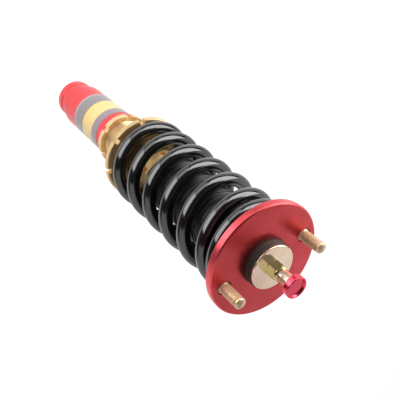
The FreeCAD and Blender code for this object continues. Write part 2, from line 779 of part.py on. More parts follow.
def spring_law():
    """Coefficients of the wire centre's height against turns from the lower tip."""
    turns = size("spring_turns")
    end_pitch = size("wire_diameter") + size("spring_end_gap")
    run_in = size("spring_lower_run_in")
    start = size("spring_upper_start")
    run_out = size("spring_upper_run_in")
    rise = size("spring_length") - size("wire_diameter") + 2 * size("spring_ground_depth")
    first = run_in * eased(1 / run_in)
    lower = run_in * eased(turns / run_in)
    upper = run_out * eased((turns - start) / run_out)
    # low * (1 - first) + free * first = end_pitch, low * (turns - lower) + free * (lower - upper) = rise - end_pitch * upper
    a, b, c = 1 - first, first, end_pitch
    d, e, f = turns - lower, lower - upper, rise - end_pitch * upper
    free = (a * f - d * c) / (a * e - d * b)
    low = (c - b * free) / a
    return low, free, end_pitch, run_in, start, run_out


def wire_height(turn):
    """Height of the wire's centre above the spring's foot, at a turn counted from the lower tip."""
    low, free, end_pitch, run_in, start, run_out = spring_law()
    height = 0.5 * size("wire_diameter") - size("spring_ground_depth") + low * turn
    height += (free - low) * run_in * eased(turn / run_in)
    height -= (free - end_pitch) * run_out * eased((turn - start) / run_out)
    return height


def wire_point(turn):
    """Point on the wire's centre line. The coil is right-handed and starts at the start azimuth."""
    angle = 2 * math.pi * turn + math.radians(size("spring_start_azimuth"))
    radius = size("spring_mean_radius")
    return Vector(radius * math.cos(angle), radius * math.sin(angle), wire_height(turn))


def wire_tangent(turn):
    """Unit tangent of the centre line."""
    step = 1e-5
    run = wire_point(turn + step) - wire_point(turn - step)
    return run / run.Length


def arc_between(start, corner, end):
    """Arc that leaves start towards the corner and reaches end coming from it."""
    middle = (start + end) / 2
    half = (end - start).Length / 2
    cosine = half / (corner - start).Length
    angle = math.acos(min(1.0, cosine))
    sagitta = half * math.tan(angle / 2)
    outward = corner - middle
    return Part.Arc(start, middle + outward * (sagitta / outward.Length), end).toShape()


def two_arcs(start, leave, end, arrive):
    """Two arcs from start to end that touch both tangents and each other."""
    gap = end - start
    both = leave + arrive
    bend = 2 - 2 * leave.dot(arrive)
    along = gap.dot(both)
    reach = (-along + math.sqrt(along * along + bend * gap.dot(gap))) / bend
    first = start + leave * reach
    last = end - arrive * reach
    joint = (first + last) / 2
    return [arc_between(start, first, joint), arc_between(joint, last, end)]


turns = size("spring_turns")
steps = math.ceil(4 * turns)
marks = [turns * i / steps for i in range(steps + 1)]
edges = []
for i in range(steps):
    begin, finish = marks[i], marks[i + 1]
    edges += two_arcs(wire_point(begin), wire_tangent(begin), wire_point(finish), wire_tangent(finish))
path = Part.Wire(edges)
section = Part.Wire([Part.Circle(wire_point(0), wire_tangent(0), size("wire_diameter") / 2).toShape()])
coil = path.makePipeShell([section], True, False)
wire_volume = math.pi * (size("wire_diameter") / 2) ** 2 * path.Length
print("spring volume over section times length: %.4f" % (coil.Volume / wire_volume))

samples = [wire_point(turns * i / 1200) for i in range(1201)]
one_turn = int(1200 / turns)
least = min(
    (samples[i] - samples[j]).Length
    for i in range(0, len(samples), 4)
    for j in range(i + int(0.6 * one_turn), len(samples), 2)
)
print("least gap of the spring to itself: %.2f mm" % (least - size("wire_diameter")))

outer = size("spring_mean_radius") + size("wire_diameter")
ground = Part.makeCylinder(outer, size("spring_length"))
coil = coil.common(ground)
spring = doc.addObject("Part::Feature", "spring")
spring.Label = "spring"
spring.Shape = coil.Solids[0] if len(coil.Solids) == 1 else coil
place(spring, negative(SPRING_FOOT_DEPTH))
sub_parts.append(spring)

# Dust boot: a cuff on the gland, ribs, and a cuff on the cup's skirt, lofted ring by ring, then bored


def boot_rings():
    """Radius and height of each ring of the boot's outside, from its lower end up."""
    length = value("(%s) - (%s) - 2 * boot_end_gap" % (FLANGE_TOP_DEPTH, CUP_FOOT_DEPTH))
    crest = size("boot_rib_radius")
    valley = crest - size("boot_rib_depth")
    lower_cuff = value("gland_boss_radius + boot_end_gap + boot_cuff_wall")
    upper_cuff = value("cup_radius + slip_clearance + boot_cuff_wall")
    foot = size("boot_lower_cuff")
    head = length - size("boot_upper_cuff")
    run = size("boot_cuff_run")
    count = int(size("boot_rib_count"))
    pitch = (head - foot - 2 * run) / count
    flat = size("boot_crest_share") * pitch
    rings = [(lower_cuff, 0), (lower_cuff, foot), (valley, foot + run)]
    for i in range(count):
        middle = foot + run + (i + 0.5) * pitch
        rings.append((valley, middle - 0.5 * pitch + 0.5 * flat))
        rings.append((crest, middle - 0.5 * flat))
        rings.append((crest, middle + 0.5 * flat))
        rings.append((valley, middle + 0.5 * pitch - 0.5 * flat))
    rings += [(valley, head - run), (upper_cuff, head), (upper_cuff, length)]
    return rings


rings = boot_rings()
circles = [Part.Wire([Part.Circle(Vector(0, 0, z), Vector(0, 0, 1), r).toShape()]) for r, z in rings]
boot_outside = Part.makeLoft(circles, True, True)
boot_length = rings[-1][1]
head = boot_length - size("boot_upper_cuff")
foot = size("boot_lower_cuff")
ribs_bore = size("boot_rib_radius") - size("boot_rib_depth") - size("boot_wall")
gland_bore = value("gland_boss_radius + boot_end_gap")
cup_bore = value("cup_radius + slip_clearance")
run = size("boot_cuff_run")
hollow = Part.makeCylinder(gland_bore, foot)
hollow = hollow.fuse(Part.makeCone(gland_bore, ribs_bore, run, Vector(0, 0, foot)))
hollow = hollow.fuse(Part.makeCylinder(ribs_bore, head - foot - run, Vector(0, 0, foot + run)))
hollow = hollow.fuse(Part.makeCylinder(cup_bore, boot_length - head, Vector(0, 0, head)))
boot = doc.addObject("Part::Feature", "dust_boot")
boot.Label = "dust_boot"
boot.Shape = boot_outside.cut(hollow)
place(boot, negative("(%s) - boot_end_gap" % FLANGE_TOP_DEPTH))
sub_parts.append(boot)

# Damper body: threaded tube with a closed foot and a wider entry for the gland and the guide

damper = new_body("damper_body", negative(BODY_FOOT_DEPTH))
ENTRY_FOOT = "(%s) - (%s)" % (BODY_FOOT_DEPTH, GUIDE_FOOT_DEPTH)
turned(damper, [
    ("0", "0"),
    ("body_radius - body_edge", "0"),
    ("body_radius", "body_edge"),
    ("body_radius", "body_length"),
    ("body_entry_radius", "body_length"),
    ("body_entry_radius", ENTRY_FOOT),
    ("body_bore_radius", ENTRY_FOOT),
    ("body_bore_radius", "body_floor"),
    ("0", "body_floor"),
])

# Gland nut: screwed into the body, with spanner notches in its flange and the boot's boss on top

gland = new_body("gland_nut", negative(GUIDE_TOP_DEPTH), "gland_notch_azimuth")
SKIRT_RADIUS = "body_entry_radius - slip_clearance"
FLANGE_TOP = "gland_skirt + gland_flange_height"
GLAND_TOP = FLANGE_TOP + " + gland_boss_height"
WIPER_FOOT = GLAND_TOP + " - wiper_height"
turned(gland, [
    ("seal_radius + slip_clearance", "0"),
    (SKIRT_RADIUS, "0"),
    (SKIRT_RADIUS, "gland_skirt"),
    ("body_radius", "gland_skirt"),
    ("body_radius", FLANGE_TOP + " - body_edge"),
    ("body_radius - body_edge", FLANGE_TOP),
    ("gland_boss_radius", FLANGE_TOP),
    ("gland_boss_radius", GLAND_TOP + " - body_edge"),
    ("gland_boss_radius - body_edge", GLAND_TOP),
    ("wiper_radius + slip_clearance", GLAND_TOP),
    ("wiper_radius + slip_clearance", WIPER_FOOT),
    ("rod_radius + running_fit", WIPER_FOOT),
    ("rod_radius + running_fit", "seal_height"),
    ("seal_radius + slip_clearance", "seal_height"),
])
notch = new_sketch(gland, "notch", "XY_Plane")
notch.AttachmentOffset = Placement(Vector(0, 0, 1), Rotation())
NOTCH_FOOT = "gland_skirt + 0.5 * (gland_flange_height - gland_notch_height)"
notch.setExpression("AttachmentOffset.Base.z", bound(NOTCH_FOOT))
draw_outline(notch, [
    ("body_radius - gland_notch_depth", "-0.5 * gland_notch_width"),
    ("body_radius + gland_notch_depth", "-0.5 * gland_notch_width"),
    ("body_radius + gland_notch_depth", "0.5 * gland_notch_width"),
    ("body_radius - gland_notch_depth", "0.5 * gland_notch_width"),
])
notch_cut = pocketed(gland, notch, "gland_notch_height", "notch_cut")
round_pattern(gland, notch_cut, "gland_notch_count", "notches")

guide = new_body("rod_guide", negative(GUIDE_FOOT_DEPTH))
turned(guide, [
    ("rod_radius + running_fit", "0"),
    (SKIRT_RADIUS, "0"),
    (SKIRT_RADIUS, "guide_height"),
    ("rod_radius + running_fit", "guide_height"),
])

seal = new_body("rod_seal", negative(GUIDE_TOP_DEPTH))
turned(seal, [
    ("rod_radius + running_fit", "0"),
    ("seal_radius", "0"),
    ("seal_radius", "seal_height"),
    ("rod_radius + 3 * running_fit", "seal_height"),
    ("rod_radius + 0.25 * (seal_radius - rod_radius)", "0.5 * seal_height"),
])

wiper = new_body("rod_wiper", negative("(%s) + wiper_height" % GLAND_TOP_DEPTH))
turned(wiper, [
    ("rod_radius + 4 * running_fit", "0"),
    ("wiper_radius", "0"),
    ("wiper_radius", "0.75 * wiper_height"),
    ("rod_radius + running_fit", "wiper_height"),
])

# Floating gas piston with its ring, dished on the gas side

gas_piston = new_body("gas_piston", negative(GAS_PISTON_TOP_DEPTH + " + gas_piston_height"))
GAS_RADIUS = "body_bore_radius - running_fit"
RING_LOW = "0.5 * gas_piston_height - oring_radius"
RING_HIGH = "0.5 * gas_piston_height + oring_radius"
RING_INNER = GAS_RADIUS + " - 1.8 * oring_radius"
turned(gas_piston, [
    ("gas_piston_web + gas_piston_dish", "0"),
    (GAS_RADIUS, "0"),
    (GAS_RADIUS, RING_LOW),
    (RING_INNER, RING_LOW),
    (RING_INNER, RING_HIGH),
    (GAS_RADIUS, RING_HIGH),
    (GAS_RADIUS, "gas_piston_height"),
    ("0", "gas_piston_height"),
    ("0", "gas_piston_dish"),
    ("gas_piston_web", "gas_piston_dish"),
])

gas_ring = doc.addObject("Part::Torus", "gas_piston_ring")
gas_ring.Label = "gas_piston_ring"
gas_ring.setExpression("Radius1", bound("%s - 0.95 * oring_radius" % GAS_RADIUS))
gas_ring.setExpression("Radius2", bound("0.85 * oring_radius"))
place(gas_ring, negative(GAS_PISTON_TOP_DEPTH + " + 0.5 * gas_piston_height"))
sub_parts.append(gas_ring)

# Collars on the body's thread: the spring perch with its lock ring, and the lower lock ring

perch = new_body("spring_perch", negative(PERCH_FOOT_DEPTH), "perch_slot_azimuth")
FLANGE_FOOT = "perch_hub_height"
FLANGE_HEAD = "perch_hub_height + perch_thickness"
turned(perch, [
    (THREAD_BORE, "0"),
    ("perch_hub_radius - ring_edge", "0"),
    ("perch_hub_radius", "ring_edge"),
    ("perch_hub_radius", FLANGE_FOOT),
    ("perch_radius - ring_edge", FLANGE_FOOT),
    ("perch_radius", FLANGE_FOOT + " + ring_edge"),
    ("perch_radius", FLANGE_HEAD + " - perch_top_bevel_height"),
    ("perch_radius - perch_top_bevel", FLANGE_HEAD),
    (LIP_RADIUS, FLANGE_HEAD),
    (LIP_RADIUS, FLANGE_HEAD + " + perch_locator_height - ring_edge"),
    (LIP_RADIUS + " - ring_edge", FLANGE_HEAD + " + perch_locator_height"),
    (THREAD_BORE, FLANGE_HEAD + " + perch_locator_height"),
])
slotted(perch, "perch_radius - perch_slot_depth", "perch_radius + perch_slot_depth", "perch_slot_width",
        FLANGE_HEAD, "perch_slot_count", "perch_slots")

for name, height, thickness in (
    ("lock_ring_upper", UPPER_RING_DEPTH, "upper_ring_height"),
    ("lock_ring_lower", LOWER_RING_DEPTH, "lower_ring_height"),
):
    ring = new_body(name, negative(height), "perch_slot_azimuth")
    turned(ring, [
        (THREAD_BORE, "0"),
        ("ring_radius - ring_edge", "0"),
        ("ring_radius", "ring_edge"),
        ("ring_radius", thickness + " - ring_edge"),
        ("ring_radius - ring_edge", thickness),
        (THREAD_BORE, thickness),
    ])
    slotted(ring, "ring_radius - ring_slot_depth", "ring_radius + ring_slot_depth", "ring_slot_width",
            thickness, "ring_slot_count", "slots_" + name)

# Lower mount: threaded socket with a plain spigot that a fork clamps, and the printed sleeve round it

mount = new_body("lower_mount", negative(MOUNT_END_DEPTH))
GROOVE_LOW = "spigot_groove_height"
GROOVE_HIGH = "spigot_groove_height + spigot_groove_width"
GROOVE_RADIUS = "spigot_radius - spigot_groove_depth"
MOUNT_TOP = "spigot_length + mount_tube_length"
turned(mount, [
    ("0", "0"),
    ("spigot_radius - spigot_chamfer", "0"),
    ("spigot_radius", "spigot_chamfer"),
    ("spigot_radius", GROOVE_LOW),
    (GROOVE_RADIUS, GROOVE_LOW + " + 0.5 * spigot_groove_depth"),
    (GROOVE_RADIUS, GROOVE_HIGH + " - 0.5 * spigot_groove_depth"),
    ("spigot_radius", GROOVE_HIGH),
    ("spigot_radius", "spigot_length"),
    ("mount_radius - mount_edge", "spigot_length"),
    ("mount_radius", "spigot_length + mount_edge"),
    ("mount_radius", MOUNT_TOP),
    (THREAD_BORE, MOUNT_TOP),
    (THREAD_BORE, "spigot_length + mount_bore_floor"),
    ("0", "spigot_length + mount_bore_floor"),
])

skin_outer = doc.addObject("Part::Cylinder", "sleeve_outside")
skin_outer.setExpression("Radius", bound("mount_radius + sleeve_skin"))
skin_outer.setExpression("Height", bound("sleeve_length"))
skin_inner = doc.addObject("Part::Cylinder", "sleeve_inside")
skin_inner.setExpression("Radius", bound("mount_radius"))
skin_inner.setExpression("Height", bound("sleeve_length"))
skin = doc.addObject("Part::Cut", "label_sleeve")
skin.Label = "label_sleeve"
skin.Base = skin_outer
skin.Tool = skin_inner
place(skin, negative(MOUNT_END_DEPTH + " - spigot_length - sleeve_start"))
sub_parts.append(skin)

# Everything has to be sound before a file is written

doc.recompute()
for item in doc.Objects:
    if "Invalid" in item.State or "Error" in item.State:
        raise RuntimeError("%s failed: %s" % (item.Label, item.State))
for item in sub_parts:
    if item.Shape.isNull() or not item.Shape.isValid():
        raise RuntimeError(item.Label + " has no sound shape")
    if len(item.Shape.Solids) != 1:
        raise RuntimeError("%s has %d solids" % (item.Label, len(item.Shape.Solids)))

os.makedirs("parts", exist_ok=True)
for item in sub_parts:
    item.Shape.exportStep("parts/%s.step" % item.Label)
print("%d sub-parts written" % len(sub_parts))
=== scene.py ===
"""Looks of a coilover: a threaded monotube damper in a coil spring, under a round plate with two studs.

Lengths are in millimetres and angles in degrees, except where a docstring says otherwise.
"""

import sys
import logging
import math
from abc import ABC, abstractmethod
from dataclasses import dataclass, field
from enum import Enum

import bmesh
import bpy
from mathutils import Matrix, Vector


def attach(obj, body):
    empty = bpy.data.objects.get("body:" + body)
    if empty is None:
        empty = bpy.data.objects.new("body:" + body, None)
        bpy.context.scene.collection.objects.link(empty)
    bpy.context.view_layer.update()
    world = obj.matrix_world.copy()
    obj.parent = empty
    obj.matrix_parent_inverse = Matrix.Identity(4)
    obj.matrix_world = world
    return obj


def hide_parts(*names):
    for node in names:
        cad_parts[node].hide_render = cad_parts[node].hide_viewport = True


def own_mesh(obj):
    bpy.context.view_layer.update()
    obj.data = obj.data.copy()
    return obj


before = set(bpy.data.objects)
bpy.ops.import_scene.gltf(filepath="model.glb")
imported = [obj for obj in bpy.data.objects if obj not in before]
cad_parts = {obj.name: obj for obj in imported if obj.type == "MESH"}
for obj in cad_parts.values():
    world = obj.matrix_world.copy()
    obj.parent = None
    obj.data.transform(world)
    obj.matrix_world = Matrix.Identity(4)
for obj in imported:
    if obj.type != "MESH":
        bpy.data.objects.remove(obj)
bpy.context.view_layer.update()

log = logging.getLogger("coilover")

Triple = tuple[float, float, float]
Outline = list[tuple[float, float]]

MM = 0.001
MM_PER_METRE = 1000
AXIS = Vector((0, 0, 1))
ORIGIN = Vector((0, 0, 0))
# The point on the axis that the lamps face, in metres
AIM = Vector((0, 0, -0.15))
# Corners that lie nearer to one another than this, in metres, become one
WELD = 1e-6
FINE_WELD = 1e-7
THREAD_WELD = 2e-6
# A corner nearer to the axis than this, in metres, lies on it
ON_AXIS = 1e-9
# Steps round the axis, of the solid outlines and of the tube and the boot
SOLID_STEPS = 128
ROUND_STEPS = 96
# Edges that turn by more than this are rounded, in so many steps
SHARP = 28.0
ROUNDING_STEPS = 2
# Triangles that turn by less than this join into one face
FLAT = 0.5


class Body(str, Enum):
    """The moving bodies that a piece can ride on."""

    TOP_MOUNT = "top_mount"
    ADJUSTER = "adjuster"
    DAMPER = "damper"
    PERCH_RING = "perch_ring"
    PERCH = "perch"
    MOUNT_RING = "mount_ring"
    FORK_MOUNT = "fork_mount"


class Grain(Enum):
    """How a surface was made, which sets its fine relief."""

    BLASTED = "blasted"
    TURNED = "turned"
    SPRAYED = "sprayed"
    MOULDED = "moulded"
    FOAMED = "foamed"


# Nodes and colours


def linear(colour: str) -> tuple[float, float, float, float]:
    """Turns an sRGB hex colour into linear light.

    Args:
        colour: Seven characters, such as "#b03040".

    Returns:
        Linear red, green, blue and an alpha of 1.
    """
    channels = [int(colour[i:i + 2], 16) / 255 for i in (1, 3, 5)]
    red, green, blue = (c / 12.92 if c <= 0.04045 else ((c + 0.055) / 1.055) ** 2.4 for c in channels)
    return red, green, blue, 1.0


def add_node(tree: bpy.types.NodeTree, kind: str, inputs: dict | None = None, **settings) -> bpy.types.Node:
    """Adds a node with its settings, values and links.

    Args:
        tree: The node tree that gets the node.
        kind: The node's type name.
        inputs: A value or an output socket for each input, by its name or number.
        settings: The node's own properties.

    Returns:
        The new node.
    """
    node = tree.nodes.new(kind)
    for name, setting in settings.items():
        setattr(node, name, setting)
    for name, given in (inputs or {}).items():
        if isinstance(given, bpy.types.NodeSocket):
            tree.links.new(given, node.inputs[name])
        else:
            node.inputs[name].default_value = given
    return node


@dataclass(frozen=True)
class Finish:
    """A material with one base colour that drifts slowly towards a second one, and a fine relief.

    The drift and the relief are in real millimetres on the piece's own coordinates.
    """

    name: str
    colour: str
    drift_colour: str
    metallic: float
    roughness: float
    grain: Grain
    grain_mm: float
    relief_mm: float
    drift_mm: float = 30.0
    drift: float = 1.0
    specular: float = 0.5
    coat: float = 0.0

    # The slow noise at which the colour starts to drift and at which it has drifted, and the same for the
    # roughness, with the factors on the roughness there
    COLOUR_SPAN = (0.35, 0.65)
    ROUGH_SPAN = (0.3, 0.7)
    ROUGH_FACTORS = (0.88, 1.14)
    COAT_ROUGHNESS = 0.1

    def material(self) -> bpy.types.Material:
        """Gives the node material, and builds it for the first piece that asks.

        Returns:
            The material.
        """
        return bpy.data.materials.get(self.name) or self.build()

    def build(self) -> bpy.types.Material:
        """Builds the node material.

        Returns:
            The new material.
        """
        made = bpy.data.materials.new(self.name)
        made.use_nodes = True
        tree = made.node_tree
        where = add_node(tree, "ShaderNodeTexCoord")
        scaled = add_node(
            tree, "ShaderNodeMapping", {"Vector": where.outputs["Object"], "Scale": [MM_PER_METRE] * 3}
        )
        drift = add_node(
            tree, "ShaderNodeTexNoise",
            {"Vector": scaled.outputs["Vector"], "Scale": 1 / self.drift_mm, "Detail": 3.0,
             "Roughness": 0.55},
        )
        low, high = self.ROUGH_SPAN
        smooth, rough = (factor * self.roughness for factor in self.ROUGH_FACTORS)
        roughness = add_node(
            tree, "ShaderNodeMapRange",
            {"Value": drift.outputs["Fac"], "From Min": low, "From Max": high, "To Min": smooth,
             "To Max": min(1.0, rough)},
        )
        shader = tree.nodes["Principled BSDF"]
        for name, given in (
            ("Metallic", self.metallic), ("Specular IOR Level", self.specular), ("Coat Weight", self.coat),
            ("Coat Roughness", self.COAT_ROUGHNESS),
        ):
            shader.inputs[name].default_value = given
        for name, socket in (
            ("Base Color", self.colour_socket(tree, scaled, drift)),
            ("Roughness", roughness.outputs["Result"]), ("Normal", self.relief_socket(tree, scaled)),
        ):
            tree.links.new(socket, shader.inputs[name])
        return made

    def colour_socket(
        self, tree: bpy.types.NodeTree, scaled: bpy.types.Node, drift: bpy.types.Node
    ) -> bpy.types.NodeSocket:
        """Mixes the surface's own colour with the second one along the drift.

        Args:
            tree: The material's node tree.
            scaled: The node with the place in millimetres.
            drift: The slow noise.

        Returns:
            The colour's output socket.
        """
        low, high = self.COLOUR_SPAN
        share = add_node(
            tree, "ShaderNodeMapRange",
            {"Value": drift.outputs["Fac"], "From Min": low, "From Max": high, "To Max": self.drift},
        )
        mixed = add_node(
            tree, "ShaderNodeMixRGB",
            {"Fac": share.outputs["Result"], "Color1": self.own_colour(tree, scaled),
             "Color2": linear(self.drift_colour)},
        )
        return mixed.outputs["Color"]

    def own_colour(
        self, tree: bpy.types.NodeTree, scaled: bpy.types.Node
    ) -> tuple[float, float, float, float] | bpy.types.NodeSocket:
        """Gives the colour before it drifts, here one colour all over.

        Args:
            tree: The material's node tree.
            scaled: The node with the place in millimetres.

        Returns:
            The colour, or the output socket that gives it.
        """
        return linear(self.colour)

    def relief_socket(self, tree: bpy.types.NodeTree, scaled: bpy.types.Node) -> bpy.types.NodeSocket:
        """Makes the fine relief: turning marks run round the axis, the other grains are even.

        Args:
            tree: The material's node tree.
            scaled: The node with the place in millimetres.

        Returns:
            The normal's output socket.
        """
        place = scaled.outputs["Vector"]
        if self.grain is Grain.TURNED:
            parts = add_node(tree, "ShaderNodeSeparateXYZ", {"Vector": place})
            x, y, z = (parts.outputs[letter] for letter in "XYZ")
            flat = add_node(tree, "ShaderNodeCombineXYZ", {"X": x, "Y": y})
            reach = add_node(tree, "ShaderNodeVectorMath", {0: flat.outputs["Vector"]}, operation="LENGTH")
            ring = add_node(tree, "ShaderNodeCombineXYZ", {"X": reach.outputs["Value"], "Z": z})
            place = ring.outputs["Vector"]
        noise = add_node(
            tree, "ShaderNodeTexNoise",
            {"Vector": place, "Scale": 1 / self.grain_mm,
             "Detail": 2.0 if self.grain is Grain.SPRAYED else 4.0},
        )
        bump = add_node(
            tree, "ShaderNodeBump",
            {"Height": noise.outputs["Fac"], "Strength": 1.0, "Distance": self.relief_mm * MM},
        )
        return bump.outputs["Normal"]


@dataclass(frozen=True)
class BandedFinish(Finish):
    """A finish in plain bands of colour that follow one another up the axis, each with its height."""

    bands: tuple[tuple[float, str], ...] = ()

    def own_colour(self, tree: bpy.types.NodeTree, scaled: bpy.types.Node) -> bpy.types.NodeSocket:
        """Gives each height its band's colour.

        Args:
            tree: The material's node tree.
            scaled: The node with the place in millimetres.

        Returns:
            The colour's output socket.
        """
        foot, head = self.bands[0][0], self.bands[-1][0]
        parts = add_node(tree, "ShaderNodeSeparateXYZ", {"Vector": scaled.outputs["Vector"]})
        share = add_node(
            tree, "ShaderNodeMapRange", {"Value": parts.outputs["Z"], "From Min": foot, "From Max": head}
        )
        ramp = add_node(tree, "ShaderNodeValToRGB", {"Fac": share.outputs["Result"]})
        ramp.color_ramp.interpolation = "LINEAR"
        stops = ramp.color_ramp.elements
        while len(stops) < len(self.bands):
            stops.new(0.5)
        for stop, (height, colour) in zip(stops, self.bands):
            stop.position = (height - foot) / (head - foot)
            stop.color = linear(colour)
        return ramp.outputs["Color"]


# Aluminium, bead blasted and anodised in red: an even satin metal that mirrors its neighbours softly. The
# blast grain is too fine to show and is drawn at 0.7 mm
RED_PLATE = Finish(
    "anodised_aluminium_red", "#df5258", "#d44a50", 0.9, 0.31, Grain.BLASTED, 0.7, 0.0015
)
# The same dye on the turned mount, thicker and less metallic: a warm, nearly plain red with a soft sheen
RED_TURNED = Finish(
    "anodised_aluminium_red_turned", "#e44046", "#da3a40", 0.5, 0.3, Grain.TURNED, 0.8, 0.003
)
# The same dye over a finer cut: a bright pink-red metal with clear edges of light
RED_KNOB = Finish(
    "anodised_aluminium_red_knob", "#ec5064", "#de475b", 0.88, 0.24, Grain.TURNED, 0.5, 0.004
)
# Aluminium, turned and anodised in pale gold: a soft metal glow with fine rings
GOLD = Finish(
    "anodised_aluminium_gold", "#e0c294", "#d6b584", 0.92, 0.36, Grain.TURNED, 0.8, 0.0015
)
# The same over a finer cut, with its colour painted brighter than the gold, a painted highlight, so that
# the gland shines out between the dark coils
GOLD_GLAND_PAINTED_LIGHT = Finish(
    "anodised_aluminium_gold_painted_light", "#fcd596", "#f4c98a", 0.92, 0.33, Grain.TURNED, 0.8, 0.001
)
# The same on the tube, with painted shade: above the perch, inside the spring, where the coils shade it,
# the thread's colour is darkened
GOLD_THREAD_PAINTED_SHADE = BandedFinish(
    "anodised_aluminium_gold_thread_painted_shade", "#e0c294", "#d6b584", 0.92, 0.36, Grain.TURNED, 0.8, 0.0015,
    drift=0.15,
    bands=((-340.0, "#e0c294"), (-206.0, "#e0c294"), (-198.0, "#5e5135"), (-167.0, "#5e5135")),
)
# Steel, zinc plated and passivated pale yellow: a warm cream mirror, in which the nut shows
WASHER = Finish(
    "zinc_plate_pale", "#fbe2cb", "#f6dac0", 0.84, 0.17, Grain.TURNED, 0.6, 0.0015, drift_mm=14
)
# Steel, zinc plated and passivated yellow: a green-gold mirror whose facets differ in brightness
NUT = Finish(
    "zinc_plate_yellow", "#dedaa8", "#ccc78c", 0.95, 0.12, Grain.BLASTED, 0.9, 0.0005, drift_mm=8
)
# The same in tan on rolled threads: dull, pinkish and a little uneven
STUD = Finish(
    "zinc_plate_tan", "#ecc8ac", "#d8be96", 0.65, 0.4, Grain.BLASTED, 0.6, 0.002, drift_mm=7
)
# Steel, turned and nickel plated: a pale cream shine that takes up the reds around it
HOUSING = Finish(
    "nickel_plate_cream", "#f4ebd4", "#ecdfc2", 0.88, 0.24, Grain.TURNED, 0.5, 0.0007, drift_mm=6
)
# Plain ground steel: neutral grey, a little cold
STEEL = Finish("ground_steel", "#b9bbbe", "#a9abae", 1.0, 0.28, Grain.TURNED, 0.5, 0.004)
# Hard chrome on the rod: a clear, cold mirror
CHROME = Finish("hard_chrome", "#d8dadd", "#cfd2d6", 1.0, 0.08, Grain.TURNED, 0.6, 0.001)
# Aluminium as machined: light grey with visible turning rings
ALUMINIUM = Finish("machined_aluminium", "#c6c8ca", "#b8babd", 1.0, 0.32, Grain.TURNED, 0.7, 0.006)
# Natural rubber with carbon black, moulded: a dull brown-black skin with a faint bloom
BUSH_RUBBER = Finish(
    "moulded_rubber_bush", "#2c2620", "#38302a", 0.0, 0.5, Grain.MOULDED, 0.9, 0.02, drift_mm=9,
    specular=0.4,
)
# The same for the boot, blacker and smoother, so that its ribs catch thin lines of light
BOOT_RUBBER = Finish(
    "moulded_rubber_boot", "#0f0c0b", "#161211", 0.0, 0.36, Grain.MOULDED, 0.8, 0.01, drift_mm=12,
    specular=0.45,
)
# Microcellular urethane foam, cream, with open pores: no shine at all
FOAM = Finish("urethane_foam", "#d9cfae", "#c9bd98", 0.0, 0.9, Grain.FOAMED, 1.1, 0.12, drift_mm=6)
# Bearing plastic of the piston's band: a plain brown with a dull sheen
BAND_PLASTIC = Finish("bearing_plastic", "#5b4a3a", "#4d3f31", 0.0, 0.5, Grain.TURNED, 0.5, 0.004)
# Spring steel under gloss black powder coat: a deep black with strong, clear reflections, which the coat's
# orange peel, drawn at 5 mm, bends a little
SPRING_BLACK = Finish(
    "powder_coat_black", "#070505", "#0a0807", 0.0, 0.13, Grain.SPRAYED, 5.0, 0.015, drift_mm=40,
    specular=1.0,
)
# Printed vinyl film under a clear skin, in plain bands: flat colours with a faint, broad sheen
SLEEVE_FILM = BandedFinish(
    "printed_vinyl", "#a8a0a4", "#8f898c", 0.0, 0.34, Grain.SPRAYED, 3.0, 0.004, drift=0.12, coat=0.3,
    bands=((-321.0, "#a89c9e"), (-316.0, "#7e7779"), (-300.0, "#7a7373"), (-298.4, "#e2bf69"),
           (-277.2, "#dfc07e"), (-275.6, "#87767f"), (-265.0, "#81727c")),
)


# Mesh tools


def chain(made: bmesh.types.BMesh, corners: Outline) -> list[bmesh.types.BMVert | bmesh.types.BMEdge]:
    """Draws a chain of straight edges in the XZ plane.

    Args:
        made: The form that gets them.
        corners: Radius and height of each corner.

    Returns:
        The corners, then the edges.
    """
    points = [made.verts.new((radius * MM, 0, height * MM)) for radius, height in corners]
    return points + [made.edges.new(pair) for pair in zip(points, points[1:])]


def revolve(
    made: bmesh.types.BMesh, geometry: list[bmesh.types.BMVert | bmesh.types.BMEdge], steps: int
) -> None:
    """Turns corners and edges once round the axis.

    Args:
        made: The form.
        geometry: Its corners and edges that turn.
        steps: Steps in the turn.
    """
    bmesh.ops.spin(
        made, geom=geometry, cent=ORIGIN, axis=AXIS, angle=math.tau, steps=steps, use_merge=True
    )


def closed_profile(corners: Outline) -> bmesh.types.BMesh:
    """Draws an outline in the XZ plane and turns it once round the axis.

    Args:
        corners: Radius and height of each corner.

    Returns:
        The turned form, closed and with its poles merged.
    """
    made = bmesh.new()
    points = [made.verts.new((radius * MM, 0, height * MM)) for radius, height in corners]
    edges = [made.edges.new((a, b)) for a, b in zip(points, points[1:] + points[:1])]
    edges = [e for e in edges if any(v.co.x > ON_AXIS for v in e.verts)]
    revolve(made, points + edges, SOLID_STEPS)
    bmesh.ops.remove_doubles(made, verts=made.verts, dist=FINE_WELD)
    loose = [e for e in made.edges if not e.link_faces]
    bmesh.ops.delete(made, geom=loose, context="EDGES")
    return made


def soften(made: bmesh.types.BMesh, width: float) -> bmesh.types.BMesh:
    """Rounds every sharp edge.

    Args:
        made: The form to soften.
        width: Width of the rounding.

    Returns:
        The same form.
    """
    limit = math.radians(SHARP)
    sharp = [e for e in made.edges if len(e.link_faces) == 2 and e.calc_face_angle(0) > limit]
    bmesh.ops.bevel(
        made, geom=sharp, offset=width * MM, offset_type="OFFSET", segments=ROUNDING_STEPS, profile=0.5,
        affect="EDGES", clamp_overlap=True, material=-1,
    )
    return made


def of_node(node: str, width: float) -> bmesh.types.BMesh:
    """Takes a copy of a CAD node, joins its triangles and rounds its edges a little.

    Args:
        node: The CAD node.
        width: Width of the rounding.

    Returns:
        The softened copy.
    """
    made = bmesh.new()
    made.from_mesh(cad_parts[node].data)
    bmesh.ops.remove_doubles(made, verts=made.verts, dist=WELD)
    bmesh.ops.dissolve_limit(made, angle_limit=math.radians(FLAT), verts=made.verts, edges=made.edges)
    return soften(made, width)


